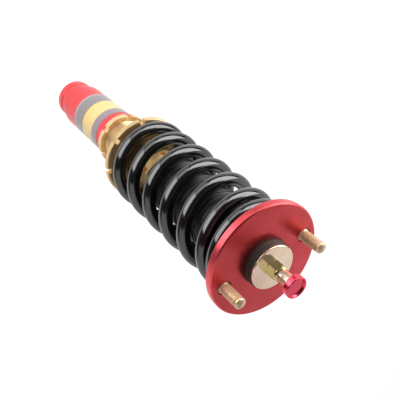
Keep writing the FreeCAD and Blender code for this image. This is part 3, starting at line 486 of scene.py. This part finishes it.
def cut_level(made: bmesh.types.BMesh, height: float, way: int) -> None:
    """Cuts a form level and drops what lies past the cut.

    Args:
        made: The form.
        height: The cut's height.
        way: 1 to drop what lies above, -1 to drop what lies below.
    """
    bmesh.ops.bisect_plane(
        made, geom=made.verts[:] + made.edges[:] + made.faces[:], plane_co=(0, 0, height * MM),
        plane_no=(0, 0, way), clear_outer=True,
    )


def threaded(
    crest: float, root: float, pitch: float, low: float, high: float, steps: int
) -> bmesh.types.BMesh:
    """Turns one pitch of a thread up the axis as a true helix and cuts it flat at both ends.

    The helix starts below the lower cut, so that the cut finds a whole turn.

    Args:
        crest: Radius of the crest.
        root: Radius of the root.
        pitch: Height of one turn.
        low: Height of the lower cut.
        high: Height of the upper cut.
        steps: Steps in one turn.

    Returns:
        The thread's skin, open at both cuts.
    """
    made = bmesh.new()
    start = low - 1.5 * pitch
    shape = ((crest, 0.0), (crest, 0.25), (root, 0.5), (root, 0.75), (crest, 1.0))
    ridge = chain(made, [(radius, start + share * pitch) for radius, share in shape])
    bmesh.ops.spin(
        made, geom=ridge, cent=ORIGIN, axis=AXIS, dvec=AXIS * (pitch * MM / steps), angle=math.tau,
        steps=steps,
    )
    turn = [*made.verts, *made.edges, *made.faces]
    for _ in range(math.ceil((high - start) / pitch)):
        turn = bmesh.ops.duplicate(made, geom=turn)["geom"]
        corners = [part for part in turn if isinstance(part, bmesh.types.BMVert)]
        bmesh.ops.translate(made, verts=corners, vec=AXIS * pitch * MM)
    bmesh.ops.remove_doubles(made, verts=made.verts, dist=THREAD_WELD)
    cut_level(made, low, -1)
    cut_level(made, high, 1)
    return made


def rim_edges(made: bmesh.types.BMesh, height: float) -> list[bmesh.types.BMEdge]:
    """Finds the open edges that lie at one height.

    Args:
        made: The form.
        height: The height.

    Returns:
        The open edges.
    """
    return [
        e for e in made.edges
        if len(e.link_faces) == 1 and all(abs(v.co.z - height * MM) < THREAD_WELD for v in e.verts)
    ]


def cap(made: bmesh.types.BMesh, height: float) -> None:
    """Closes the open edges at one height with a flat face.

    Args:
        made: The form.
        height: The height.
    """
    bmesh.ops.triangle_fill(made, edges=rim_edges(made, height), use_beauty=True)


def joined(forms: list[bmesh.types.BMesh]) -> bmesh.types.BMesh:
    """Puts several closed forms into one mesh.

    Args:
        forms: The forms, which are freed.

    Returns:
        One form with all of them.
    """
    whole = bmesh.new()
    for form in forms:
        held = bpy.data.meshes.new("held")
        form.to_mesh(held)
        whole.from_mesh(held)
        bpy.data.meshes.remove(held)
        form.free()
    return whole


def piece(
    name: str, made: bmesh.types.BMesh, body: Body, finish: Finish, stands_for: tuple[str, ...],
    crease: float = 32.0, even: bool = True,
) -> bpy.types.Object:
    """Turns a finished form into an object that rides on its body.

    Args:
        name: The object's name.
        made: The form, which is freed.
        body: The body that carries it.
        finish: Its finish.
        stands_for: The CAD nodes that it stands for.
        crease: Edges that turn by more than this stay sharp.
        even: Whether large faces keep their own shading up to their rounded edges.

    Returns:
        The new object.
    """
    bmesh.ops.recalc_face_normals(made, faces=made.faces)
    for face in made.faces:
        face.smooth = True
    for edge in made.edges:
        edge.smooth = len(edge.link_faces) != 2 or edge.calc_face_angle(0) < math.radians(crease)
    mesh = bpy.data.meshes.new(name)
    made.to_mesh(mesh)
    made.free()
    mesh.materials.append(finish.material())
    made_object = bpy.data.objects.new(name, mesh)
    bpy.context.scene.collection.objects.link(made_object)
    if even:
        shading = made_object.modifiers.new("even_shading", "WEIGHTED_NORMAL")
        shading.keep_sharp = True
    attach(made_object, body.value)
    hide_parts(*stands_for)
    log.info("%s rides on %s with %d faces", name, body.value, len(mesh.polygons))
    return made_object


def stand_in(name: str, node: str, width: float, body: Body, finish: Finish) -> None:
    """Puts a softened copy of a CAD node in its place.

    Args:
        name: The copy's name.
        node: The CAD node.
        width: Width of the rounding on its edges.
        body: The body that carries it.
        finish: Its finish.
    """
    piece(name, of_node(node, width), body, finish, (node,))


def dress_node(node: str, finish: Finish) -> None:
    """Gives a CAD node that stays as it is its finish.

    Args:
        node: The CAD node.
        finish: The finish for all its slots.
    """
    made = finish.material()
    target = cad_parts[node]
    if not target.material_slots:
        target.data.materials.append(made)
    for slot in target.material_slots:
        slot.material = made
    log.info("%s keeps its form in %s", node, finish.name)


class SubAssembly(ABC):
    """Pieces that are built and dressed together."""

    @abstractmethod
    def build(self) -> None:
        """Builds and dresses every piece."""


@dataclass(frozen=True)
class Stud(SubAssembly):
    """One stud: a pressed shank, a collar sunk into the plate, a thread, a groove and a domed tip."""

    side: str
    azimuth: float
    circle: float = 40.8
    press_radius: float = 5.4
    press_foot: float = -7.5
    collar_radius: float = 6.25
    collar_foot: float = -3.2
    collar_head: float = -2.0
    shoulder_radius: float = 5.6
    shoulder_foot: float = -1.2
    shoulder_head: float = -0.4
    crest: float = 4.98
    root: float = 4.2
    pitch: float = 1.5
    runout_foot: float = 0.6
    runout_head: float = 1.2
    thread_foot: float = 1.0
    thread_head: float = 18.5
    thread_steps: int = 40
    neck_radius: float = 4.15
    neck_foot: float = 18.2
    neck_head: float = 19.7
    tip_foot: float = 20.0
    dome_foot: float = 20.8
    top: float = 23.0

    def build(self) -> None:
        """Builds the shank, the thread and the tip, and sets them on the studs' circle as one piece."""
        shank = soften(closed_profile([
            (0, self.press_foot), (self.press_radius, self.press_foot),
            (self.press_radius, self.collar_foot), (self.collar_radius, self.collar_foot),
            (self.collar_radius, self.collar_head), (self.shoulder_radius, self.shoulder_foot),
            (self.shoulder_radius, self.shoulder_head), (self.crest, 0.0), (self.crest, self.runout_foot),
            (self.root, self.runout_head), (0, self.runout_head),
        ]), 0.12)
        thread = threaded(
            self.crest, self.root, self.pitch, self.thread_foot, self.thread_head, self.thread_steps
        )
        cap(thread, self.thread_foot)
        cap(thread, self.thread_head)
        rise = self.top - self.dome_foot
        dome = [
            (self.crest * math.cos(turn), self.dome_foot + rise * math.sin(turn))
            for turn in (math.radians(step) for step in range(0, 90, 15))
        ]
        tip = closed_profile([
            (0, self.neck_foot), (self.neck_radius, self.neck_foot), (self.neck_radius, self.neck_head),
            (self.crest - 0.1, self.tip_foot), *dome, (0, self.top),
        ])
        made = joined([shank, thread, tip])
        angle = math.radians(self.azimuth)
        reach = self.circle * MM
        bmesh.ops.translate(
            made, verts=made.verts, vec=(reach * math.cos(angle), reach * math.sin(angle), 0)
        )
        piece(
            f"stud_thread_{self.side}", made, Body.TOP_MOUNT, STUD, (f"stud_{self.side}",)
        )


# Outlines of the bush's halves. The upper one fills the plate's seat and has a groove under its lip
BUSH_UPPER = [
    (8.2, -4), (17.7, -4), (17.7, -0.5), (21.55, -0.5), (21.6, 1.5), (21.5, 3.9), (21.1, 4.5),
    (20.8, 4.6), (20.8, 5.3), (21.1, 5.5), (21.45, 6.2), (21.35, 7.2), (20.6, 8), (8.2, 8),
]
BUSH_LOWER = [
    (8.2, -16), (20.5, -16), (21.4, -15.3), (21.6, -10.2), (21.6, -8), (17.7, -8), (17.7, -4),
    (8.2, -4),
]


@dataclass
class TopMount(SubAssembly):
    """The plate with its studs, the rubber bush with its washers, the nut, and what hangs on the rod."""

    studs: tuple[Stud, ...] = (Stud("left", 65.25), Stud("right", 245.25))

    def build(self) -> None:
        """Builds the plate, the studs, the bush, the washers and the nut, and dresses the rod's pieces."""
        stand_in("plate_disc", "mount_plate", 0.25, Body.TOP_MOUNT, RED_PLATE)
        for stud in self.studs:
            stud.build()
        self.bush()
        stand_in("washer_disc", "bush_washer", 0.2, Body.TOP_MOUNT, WASHER)
        stand_in("hex_nut", "lock_nut", 0.2, Body.TOP_MOUNT, NUT)
        stand_in("cup_washer", "bump_cup", 0.2, Body.TOP_MOUNT, STEEL)
        for node, finish in (
            ("bush_sleeve", STEEL), ("piston_rod", CHROME), ("rebound_spacer", ALUMINIUM),
            ("shims_upper", STEEL), ("shims_lower", STEEL), ("piston", ALUMINIUM),
            ("piston_band", BAND_PLASTIC), ("piston_nut", STEEL),
        ):
            dress_node(node, finish)

    @staticmethod
    def bush() -> None:
        """Builds the two rubber halves with their rounded lips, the isolator ring and the bump stop."""
        for half, outline, width in (("upper", BUSH_UPPER, 0.3), ("lower", BUSH_LOWER, 0.4)):
            made = soften(closed_profile(outline), width)
            piece(
                f"bush_rubber_{half}", made, Body.TOP_MOUNT, BUSH_RUBBER, (f"bush_{half}",)
            )
        stand_in("isolator_ring", "spring_isolator", 0.4, Body.TOP_MOUNT, BUSH_RUBBER)
        stand_in("stop_foam_collar", "bump_stop", 0.9, Body.TOP_MOUNT, FOAM)


@dataclass
class Adjuster(SubAssembly):
    """The housing on the rod's end and the knob."""

    def build(self) -> None:
        """Builds the housing and the knob, and dresses the needle."""
        stand_in("detent_housing", "clicker_housing", 0.12, Body.TOP_MOUNT, HOUSING)
        stand_in("knob_disc", "adjuster_knob", 0.2, Body.ADJUSTER, RED_KNOB)
        dress_node("adjuster_needle", STEEL)


@dataclass
class CoilSpring(SubAssembly):
    """One round wire, closed and ground flat at both ends.

    The pitch eases from the closed lower end to the free coils over run_in turns, and back from the turn
    start over run_out turns. keep, the share of the length that is left at full stroke, is not used.
    """

    wire: float = 12.3
    radius: float = 38.7
    foot: float = -198.0
    length: float = 188.0
    turns: float = 7.05
    start_azimuth: float = 90.0
    end_gap: float = 1.3
    run_in: float = 1.18
    start: float = 5.75
    run_out: float = 0.49
    ground: float = 0.6
    steps_per_turn: int = 64
    sides: int = 32
    keep: float = 0.6064
    law: tuple[float, float] = field(init=False, default=(0.0, 0.0))

    @staticmethod
    def eased(u: float) -> float:
        """Gives the area under a smooth step from 0 to 1.

        Args:
            u: Where the area ends, 0 at the step's start and 1 at its end.

        Returns:
            The area.
        """
        if u <= 0:
            return 0.0
        return u - 0.5 if u >= 1 else u ** 3 - 0.5 * u ** 4

    def __post_init__(self) -> None:
        """Works out the lowest pitch and the free pitch.

        Two sums give them: the first turn rises by the end pitch, and the whole coil by its own rise.
        """
        end_pitch = self.wire + self.end_gap
        rise = self.length - self.wire + 2 * self.ground
        first = self.run_in * self.eased(1 / self.run_in)
        lower = self.run_in * self.eased(self.turns / self.run_in)
        upper = self.run_out * self.eased((self.turns - self.start) / self.run_out)
        low_first, low_all, free_all = 1 - first, self.turns - lower, lower - upper
        left = rise - end_pitch * upper
        free = (low_first * left - low_all * end_pitch) / (low_first * free_all - low_all * first)
        self.law = ((end_pitch - first * free) / low_first, free)

    def height(self, turn: float) -> float:
        """Gives the height of the wire's centre.

        Args:
            turn: The turn, counted from the lower tip.

        Returns:
            The height there.
        """
        low, free = self.law
        end_pitch = self.wire + self.end_gap
        above = 0.5 * self.wire - self.ground + low * turn
        above += (free - low) * self.run_in * self.eased(turn / self.run_in)
        above -= (free - end_pitch) * self.run_out * self.eased((turn - self.start) / self.run_out)
        return self.foot + above

    def section(self, made: bmesh.types.BMesh) -> None:
        """Draws the wire's lower end face, upright and at its own azimuth.

        Args:
            made: The form that gets it.
        """
        ring = bmesh.ops.create_circle(
            made, cap_ends=False, segments=self.sides, radius=0.5 * self.wire * MM
        )["verts"]
        upright = Matrix.Rotation(math.pi / 2, 3, "X")
        bmesh.ops.rotate(made, verts=ring, cent=ORIGIN, matrix=upright)
        bmesh.ops.translate(made, verts=ring, vec=(self.radius * MM, 0, self.height(0) * MM))
        turned = Matrix.Rotation(math.radians(self.start_azimuth), 3, "Z")
        bmesh.ops.rotate(made, verts=ring, cent=ORIGIN, matrix=turned)
        bmesh.ops.edgeloop_fill(made, edges=made.edges[:])

    def build(self) -> None:
        """Turns the section step by step up the coil and grinds both ends flat."""
        made = bmesh.new()
        self.section(made)
        geometry = [*made.verts, *made.edges]
        steps = round(self.turns * self.steps_per_turn)
        for step in range(steps):
            rise = self.height(self.turns * (step + 1) / steps) - self.height(self.turns * step / steps)
            spun = bmesh.ops.spin(
                made, geom=geometry, cent=ORIGIN, axis=AXIS, dvec=AXIS * rise * MM,
                angle=math.tau * self.turns / steps, steps=1,
            )
            geometry = spun["geom_last"]
        bmesh.ops.edgeloop_fill(made, edges=[g for g in geometry if isinstance(g, bmesh.types.BMEdge)])
        for height, way in ((self.foot, -1), (self.foot + self.length, 1)):
            cut_level(made, height, way)
            bmesh.ops.holes_fill(made, edges=rim_edges(made, height), sides=0)
        wire = piece(
            "spring_wire", made, Body.PERCH_RING, SPRING_BLACK, ("spring",), crease=40,
            even=False,
        )
        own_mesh(wire)


@dataclass
class DustBoot(SubAssembly):
    """The ribbed rubber boot from the gland to the cup. keep, the share of it left at full stroke, is not
    used.
    """

    foot: float = -155.7
    length: float = 137.4
    crest: float = 28.6
    valley: float = 26.0
    wall: float = 1.2
    ribs: int = 20
    lower_cuff: float = 9.0
    upper_cuff: float = 11.0
    run: float = 2.5
    lower_radius: float = 23.1
    lower_bore: float = 21.3
    upper_radius: float = 24.9
    upper_bore: float = 23.1
    keep: float = 0.4614

    def build(self) -> None:
        """Draws the ribs, closes the outline with the two cuffs and turns it round the axis."""
        inner, head = self.valley - self.wall, self.foot + self.length
        low, high = self.foot + self.lower_cuff, head - self.upper_cuff
        ribs_low, ribs_high = low + self.run, high - self.run
        made = bmesh.new()
        self.draw_ribs(made)
        chain(made, [
            (self.valley, ribs_low), (self.lower_radius, low), (self.lower_radius, self.foot),
            (self.lower_bore, self.foot), (self.lower_bore, low), (inner, ribs_low), (inner, ribs_high),
        ])
        chain(made, [
            (self.valley, ribs_high), (self.upper_radius, high), (self.upper_radius, head),
            (self.upper_bore, head), (self.upper_bore, high), (inner, ribs_high),
        ])
        bmesh.ops.remove_doubles(made, verts=made.verts, dist=WELD)
        revolve(made, made.verts[:] + made.edges[:], ROUND_STEPS)
        bmesh.ops.remove_doubles(made, verts=made.verts, dist=WELD)
        boot = piece(
            "boot_bellows", made, Body.TOP_MOUNT, BOOT_RUBBER, ("dust_boot",), crease=60,
            even=False,
        )
        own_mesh(boot)

    def draw_ribs(self, made: bmesh.types.BMesh) -> None:
        """Draws one rounded rib and repeats it up the boot.

        Args:
            made: The form that gets them.
        """
        low = self.foot + self.lower_cuff + self.run
        pitch = (self.length - self.lower_cuff - self.upper_cuff - 2 * self.run) / self.ribs
        outer, side = self.crest - 0.35, self.valley + 0.5
        shape = (
            (self.valley, 0.0), (self.valley, 0.1), (side, 0.19), (outer, 0.33), (self.crest, 0.42),
            (self.crest, 0.58), (outer, 0.67), (side, 0.81), (self.valley, 0.9), (self.valley, 1.0),
        )
        rib = chain(made, [(radius, low + share * pitch) for radius, share in shape])
        for _ in range(self.ribs - 1):
            rib = bmesh.ops.duplicate(made, geom=rib)["geom"]
            corners = [part for part in rib if isinstance(part, bmesh.types.BMVert)]
            bmesh.ops.translate(made, verts=corners, vec=(0, 0, pitch * MM))


@dataclass
class DamperBody(SubAssembly):
    """The threaded tube with its gland, and what runs inside it."""

    crest: float = 23.5
    root: float = 22.8
    pitch: float = 2.0
    thread_steps: int = 48
    foot: float = -340.0
    top: float = -167.0
    bore: float = 20.0
    entry: float = 20.9
    entry_foot: float = -187.0
    floor: float = 6.0

    def build(self) -> None:
        """Builds the threaded tube and dresses the gland and the inner pieces."""
        made = threaded(self.crest, self.root, self.pitch, self.foot, self.top, self.thread_steps)
        cap(made, self.foot)
        floor = self.foot + self.floor
        inside = chain(made, [
            (self.entry, self.top), (self.entry, self.entry_foot), (self.bore, self.entry_foot),
            (self.bore, floor), (0, floor),
        ])
        revolve(made, inside, ROUND_STEPS)
        bmesh.ops.remove_doubles(made, verts=made.verts, dist=WELD)
        cap(made, self.top)
        # The tube's colour carries painted shade, darker inside the spring above the perch
        piece("body_thread", made, Body.DAMPER, GOLD_THREAD_PAINTED_SHADE, ("damper_body",))
        # The gland's colour is painted brighter than the tube's gold: painted highlight
        stand_in("gland_cap", "gland_nut", 0.3, Body.DAMPER, GOLD_GLAND_PAINTED_LIGHT)
        stand_in("rod_seal_ring", "rod_seal", 0.2, Body.DAMPER, BUSH_RUBBER)
        stand_in("rod_wiper_ring", "rod_wiper", 0.2, Body.DAMPER, BUSH_RUBBER)
        dress_node("rod_guide", ALUMINIUM)
        dress_node("gas_piston", ALUMINIUM)
        dress_node("gas_piston_ring", BUSH_RUBBER)


@dataclass
class Collars(SubAssembly):
    """The spring perch and the two lock rings on the body's thread."""

    def build(self) -> None:
        """Builds the three collars with broken edges."""
        for name, node, body in (
            ("perch_collar", "spring_perch", Body.PERCH),
            ("ring_upper", "lock_ring_upper", Body.PERCH_RING),
            ("ring_lower", "lock_ring_lower", Body.MOUNT_RING),
        ):
            stand_in(name, node, 0.3, body, GOLD)


@dataclass
class LowerMount(SubAssembly):
    """The lower mount with its spigot and the printed film round it."""

    def build(self) -> None:
        """Builds the mount and its film."""
        stand_in("mount_tube", "lower_mount", 0.3, Body.FORK_MOUNT, RED_TURNED)
        stand_in("film_sleeve", "label_sleeve", 0.05, Body.FORK_MOUNT, SLEEVE_FILM)


# Studio


@dataclass(frozen=True)
class Panel:
    """A soft lamp that faces the object, with its place, width and height in metres and power in watts.

    It is turned by roll in its own plane.
    """

    name: str
    place: Triple
    width: float
    height: float
    roll: float
    power: float

    def hang(self) -> None:
        """Hangs the lamp."""
        data = bpy.data.lights.new(self.name, "AREA")
        data.shape = "RECTANGLE"
        data.size = self.width
        data.size_y = self.height
        data.energy = self.power
        lamp = bpy.data.objects.new(self.name, data)
        bpy.context.scene.collection.objects.link(lamp)
        place = Vector(self.place)
        facing = (place - AIM).normalized().to_track_quat("Z", "Y").to_matrix().to_4x4()
        rolled = Matrix.Rotation(math.radians(self.roll), 4, "Z")
        lamp.matrix_world = Matrix.Translation(place) @ facing @ rolled


@dataclass(frozen=True)
class DarkSide:
    """An oval of directions in which a reflection finds the room darker, by the share depth.

    Factors on X, Y and Z make it narrower along an axis, towards is its middle among the stretched
    directions, and it fades from the cosine high to the cosine low.
    """

    stretch: Triple
    towards: Triple
    low: float
    high: float
    depth: float

    def share_socket(self, tree: bpy.types.NodeTree) -> bpy.types.NodeSocket:
        """Gives 1 inside the oval and fades to 0 at its edge. In a world, Generated is the direction.

        Args:
            tree: The node tree that gets the nodes.

        Returns:
            The output socket.
        """
        way = add_node(tree, "ShaderNodeTexCoord")
        wide = add_node(
            tree, "ShaderNodeVectorMath", {0: way.outputs["Generated"], 1: self.stretch},
            operation="MULTIPLY",
        )
        even = add_node(tree, "ShaderNodeVectorMath", {0: wide.outputs["Vector"]}, operation="NORMALIZE")
        near = add_node(
            tree, "ShaderNodeVectorMath", {0: even.outputs["Vector"], 1: self.towards},
            operation="DOT_PRODUCT",
        )
        share = add_node(
            tree, "ShaderNodeMapRange",
            {"Value": near.outputs["Value"], "From Min": self.low, "From Max": self.high},
            interpolation_type="SMOOTHSTEP",
        )
        return share.outputs["Result"]


@dataclass
class Studio:
    """Floor, light and camera.

    The low and the edge panel draw the lights along the coils, and the side panel lights the object from
    -Y. The dark sides are the room above the object, the half in which the photographer stands, and a faint
    one behind. floor_mm is lower than the mount reaches at any pose, and floor_reach is in metres. In a
    reflection the floor's white ends between the two places of floor_end along X, in metres, and goes down
    to floor_past.
    """

    lens: float = 57.196
    place_mm: Triple = (415.152, 0.0, 308.193)
    right: Triple = (-0.52968478, -0.65150832, 0.54311227)
    up: Triple = (0.4606335, -0.7586169, -0.46077889)
    back: Triple = (0.71221543, 0.00610814, 0.70193438)
    panels: tuple[Panel, ...] = (
        Panel("low_panel", (0.38, 0.055, -0.16), 0.3, 0.42, 0.0, 1.65),
        Panel("edge_panel", (0.36, -0.205, -0.14), 0.21, 0.3, 0.0, 0.44),
        Panel("side_panel", (0.1, -0.71, 0.18), 1.25, 0.42, -24.0, 9.0),
    )
    dark_sides: tuple[DarkSide, ...] = (
        DarkSide((1.0, 2.2, 1.0), (0.2, -0.22, 0.95), 0.45, 0.62, 0.9),
        DarkSide((1.0, 1.0, 1.0), (0.83, -0.54, 0.15), 0.0, 0.1, 0.93),
        DarkSide((1.0, 1.0, 1.0), (-0.644, 0.372, 0.669), 0.87, 0.96, 0.5),
    )
    soft_light: float = 0.1
    floor_mm: float = -416.0
    floor_reach: float = 8.0
    floor_end: tuple[float, float] = (0.16, 0.26)
    floor_white: float = 0.94
    floor_past: float = 0.02

    def build(self) -> None:
        """Sets up the view, the floor, the surroundings and the lamps."""
        bpy.context.scene.view_settings.view_transform = "Standard"
        self.camera()
        self.floor()
        self.surroundings()
        for panel in self.panels:
            panel.hang()

    def camera(self) -> None:
        """Places the camera as the photograph was taken."""
        data = bpy.data.cameras.new("camera")
        data.lens = self.lens
        data.sensor_width = 36
        data.clip_start = 0.01
        data.clip_end = 50
        camera = bpy.data.objects.new("camera", data)
        bpy.context.scene.collection.objects.link(camera)
        turn = Matrix((self.right, self.up, self.back)).transposed()
        camera.matrix_world = Matrix.Translation(Vector(self.place_mm) * MM) @ turn.to_4x4()
        bpy.context.scene.camera = camera

    def floor(self) -> None:
        """Lays a pale floor: white where the camera sees it, with the object's soft shadow."""
        made = bmesh.new()
        bmesh.ops.create_circle(made, cap_ends=True, segments=64, radius=self.floor_reach)
        bmesh.ops.translate(made, verts=made.verts, vec=(0, 0, self.floor_mm * MM))
        mesh = bpy.data.meshes.new("floor")
        made.to_mesh(mesh)
        made.free()
        floor = bpy.data.objects.new("floor", mesh)
        bpy.context.scene.collection.objects.link(floor)
        mesh.materials.append(self.floor_material())

    def floor_material(self) -> bpy.types.Material:
        """Builds the floor's material, whose white ends in a reflection where a table would.

        Returns:
            The new material.
        """
        made = bpy.data.materials.new("pale_floor")
        made.use_nodes = True
        tree = made.node_tree
        tree.nodes.clear()
        seen = self.seen_socket(tree)
        matte, faint = (
            add_node(tree, "ShaderNodeBsdfDiffuse", {"Color": (grey, grey, grey, 1)}).outputs["BSDF"]
            for grey in (0.6, 0.3)
        )
        where = add_node(tree, "ShaderNodeTexCoord")
        parts = add_node(tree, "ShaderNodeSeparateXYZ", {"Vector": where.outputs["Object"]})
        near, far = self.floor_end
        end = add_node(
            tree, "ShaderNodeMapRange", {"Value": parts.outputs["X"], "From Min": near, "From Max": far},
            interpolation_type="SMOOTHSTEP",
        )
        path = add_node(tree, "ShaderNodeLightPath")
        past = add_node(
            tree, "ShaderNodeMath", {0: end.outputs["Result"], 1: path.outputs["Is Glossy Ray"]},
            operation="MULTIPLY",
        )
        fall = self.floor_past - self.floor_white
        strength = add_node(
            tree, "ShaderNodeMath", {0: past.outputs["Value"], 1: fall, 2: self.floor_white},
            operation="MULTIPLY_ADD",
        )
        glow = add_node(tree, "ShaderNodeEmission", {"Strength": strength.outputs["Value"]})
        white = add_node(tree, "ShaderNodeAddShader", {0: faint, 1: glow.outputs["Emission"]})
        both = add_node(tree, "ShaderNodeMixShader", {0: seen, 1: matte, 2: white.outputs["Shader"]})
        add_node(tree, "ShaderNodeOutputMaterial", {"Surface": both.outputs["Shader"]})
        return made

    @staticmethod
    def seen_socket(tree: bpy.types.NodeTree) -> bpy.types.NodeSocket:
        """Gives 1 for a ray from the camera, a reflection or a transmission, and 0 for scattered light.

        Args:
            tree: The node tree that gets the nodes.

        Returns:
            The output socket.
        """
        path = add_node(tree, "ShaderNodeLightPath")
        first = add_node(
            tree, "ShaderNodeMath",
            {0: path.outputs["Is Camera Ray"], 1: path.outputs["Is Glossy Ray"]}, operation="ADD",
        )
        total = add_node(
            tree, "ShaderNodeMath",
            {0: first.outputs["Value"], 1: path.outputs["Is Transmission Ray"]}, operation="ADD",
            use_clamp=True,
        )
        return total.outputs["Value"]

    def surroundings(self) -> None:
        """Makes the surroundings white to the eye and a plain soft light to the object.

        A reflection finds the room white as well, apart from its dark sides.
        """
        world = bpy.data.worlds.new("studio")
        bpy.context.scene.world = world
        world.use_nodes = True
        tree = world.node_tree
        tree.nodes.clear()
        seen = self.seen_socket(tree)
        mirrored = add_node(tree, "ShaderNodeLightPath").outputs["Is Glossy Ray"]
        level = add_node(tree, "ShaderNodeValue").outputs["Value"]
        level.default_value = 1.0
        for side in self.dark_sides:
            taken = add_node(
                tree, "ShaderNodeMath", {0: side.share_socket(tree), 1: mirrored}, operation="MULTIPLY"
            )
            left = add_node(
                tree, "ShaderNodeMath", {0: taken.outputs["Value"], 1: -side.depth, 2: 1.0},
                operation="MULTIPLY_ADD",
            )
            level = add_node(
                tree, "ShaderNodeMath", {0: level, 1: left.outputs["Value"]}, operation="MINIMUM"
            ).outputs["Value"]
        plain = add_node(
            tree, "ShaderNodeMapRange", {"Value": seen, "To Min": self.soft_light, "To Max": 1.0}
        )
        strength = add_node(
            tree, "ShaderNodeMath", {0: plain.outputs["Result"], 1: level}, operation="MULTIPLY"
        )
        sky = add_node(
            tree, "ShaderNodeBackground", {"Color": (1, 1, 1, 1), "Strength": strength.outputs["Value"]}
        )
        add_node(tree, "ShaderNodeOutputWorld", {"Surface": sky.outputs["Background"]})


def main() -> None:
    """Builds every sub-assembly in order, then the studio."""
    for group in (TopMount(), Adjuster(), CoilSpring(), DustBoot(), DamperBody(), Collars(), LowerMount()):
        group.build()
        log.info("%s is built", type(group).__name__)
    Studio().build()


if __name__ == "__main__":
    logging.basicConfig(
        level=logging.INFO, stream=sys.stdout, format="%(relativeCreated)6.0f ms %(message)s"
    )
    main()
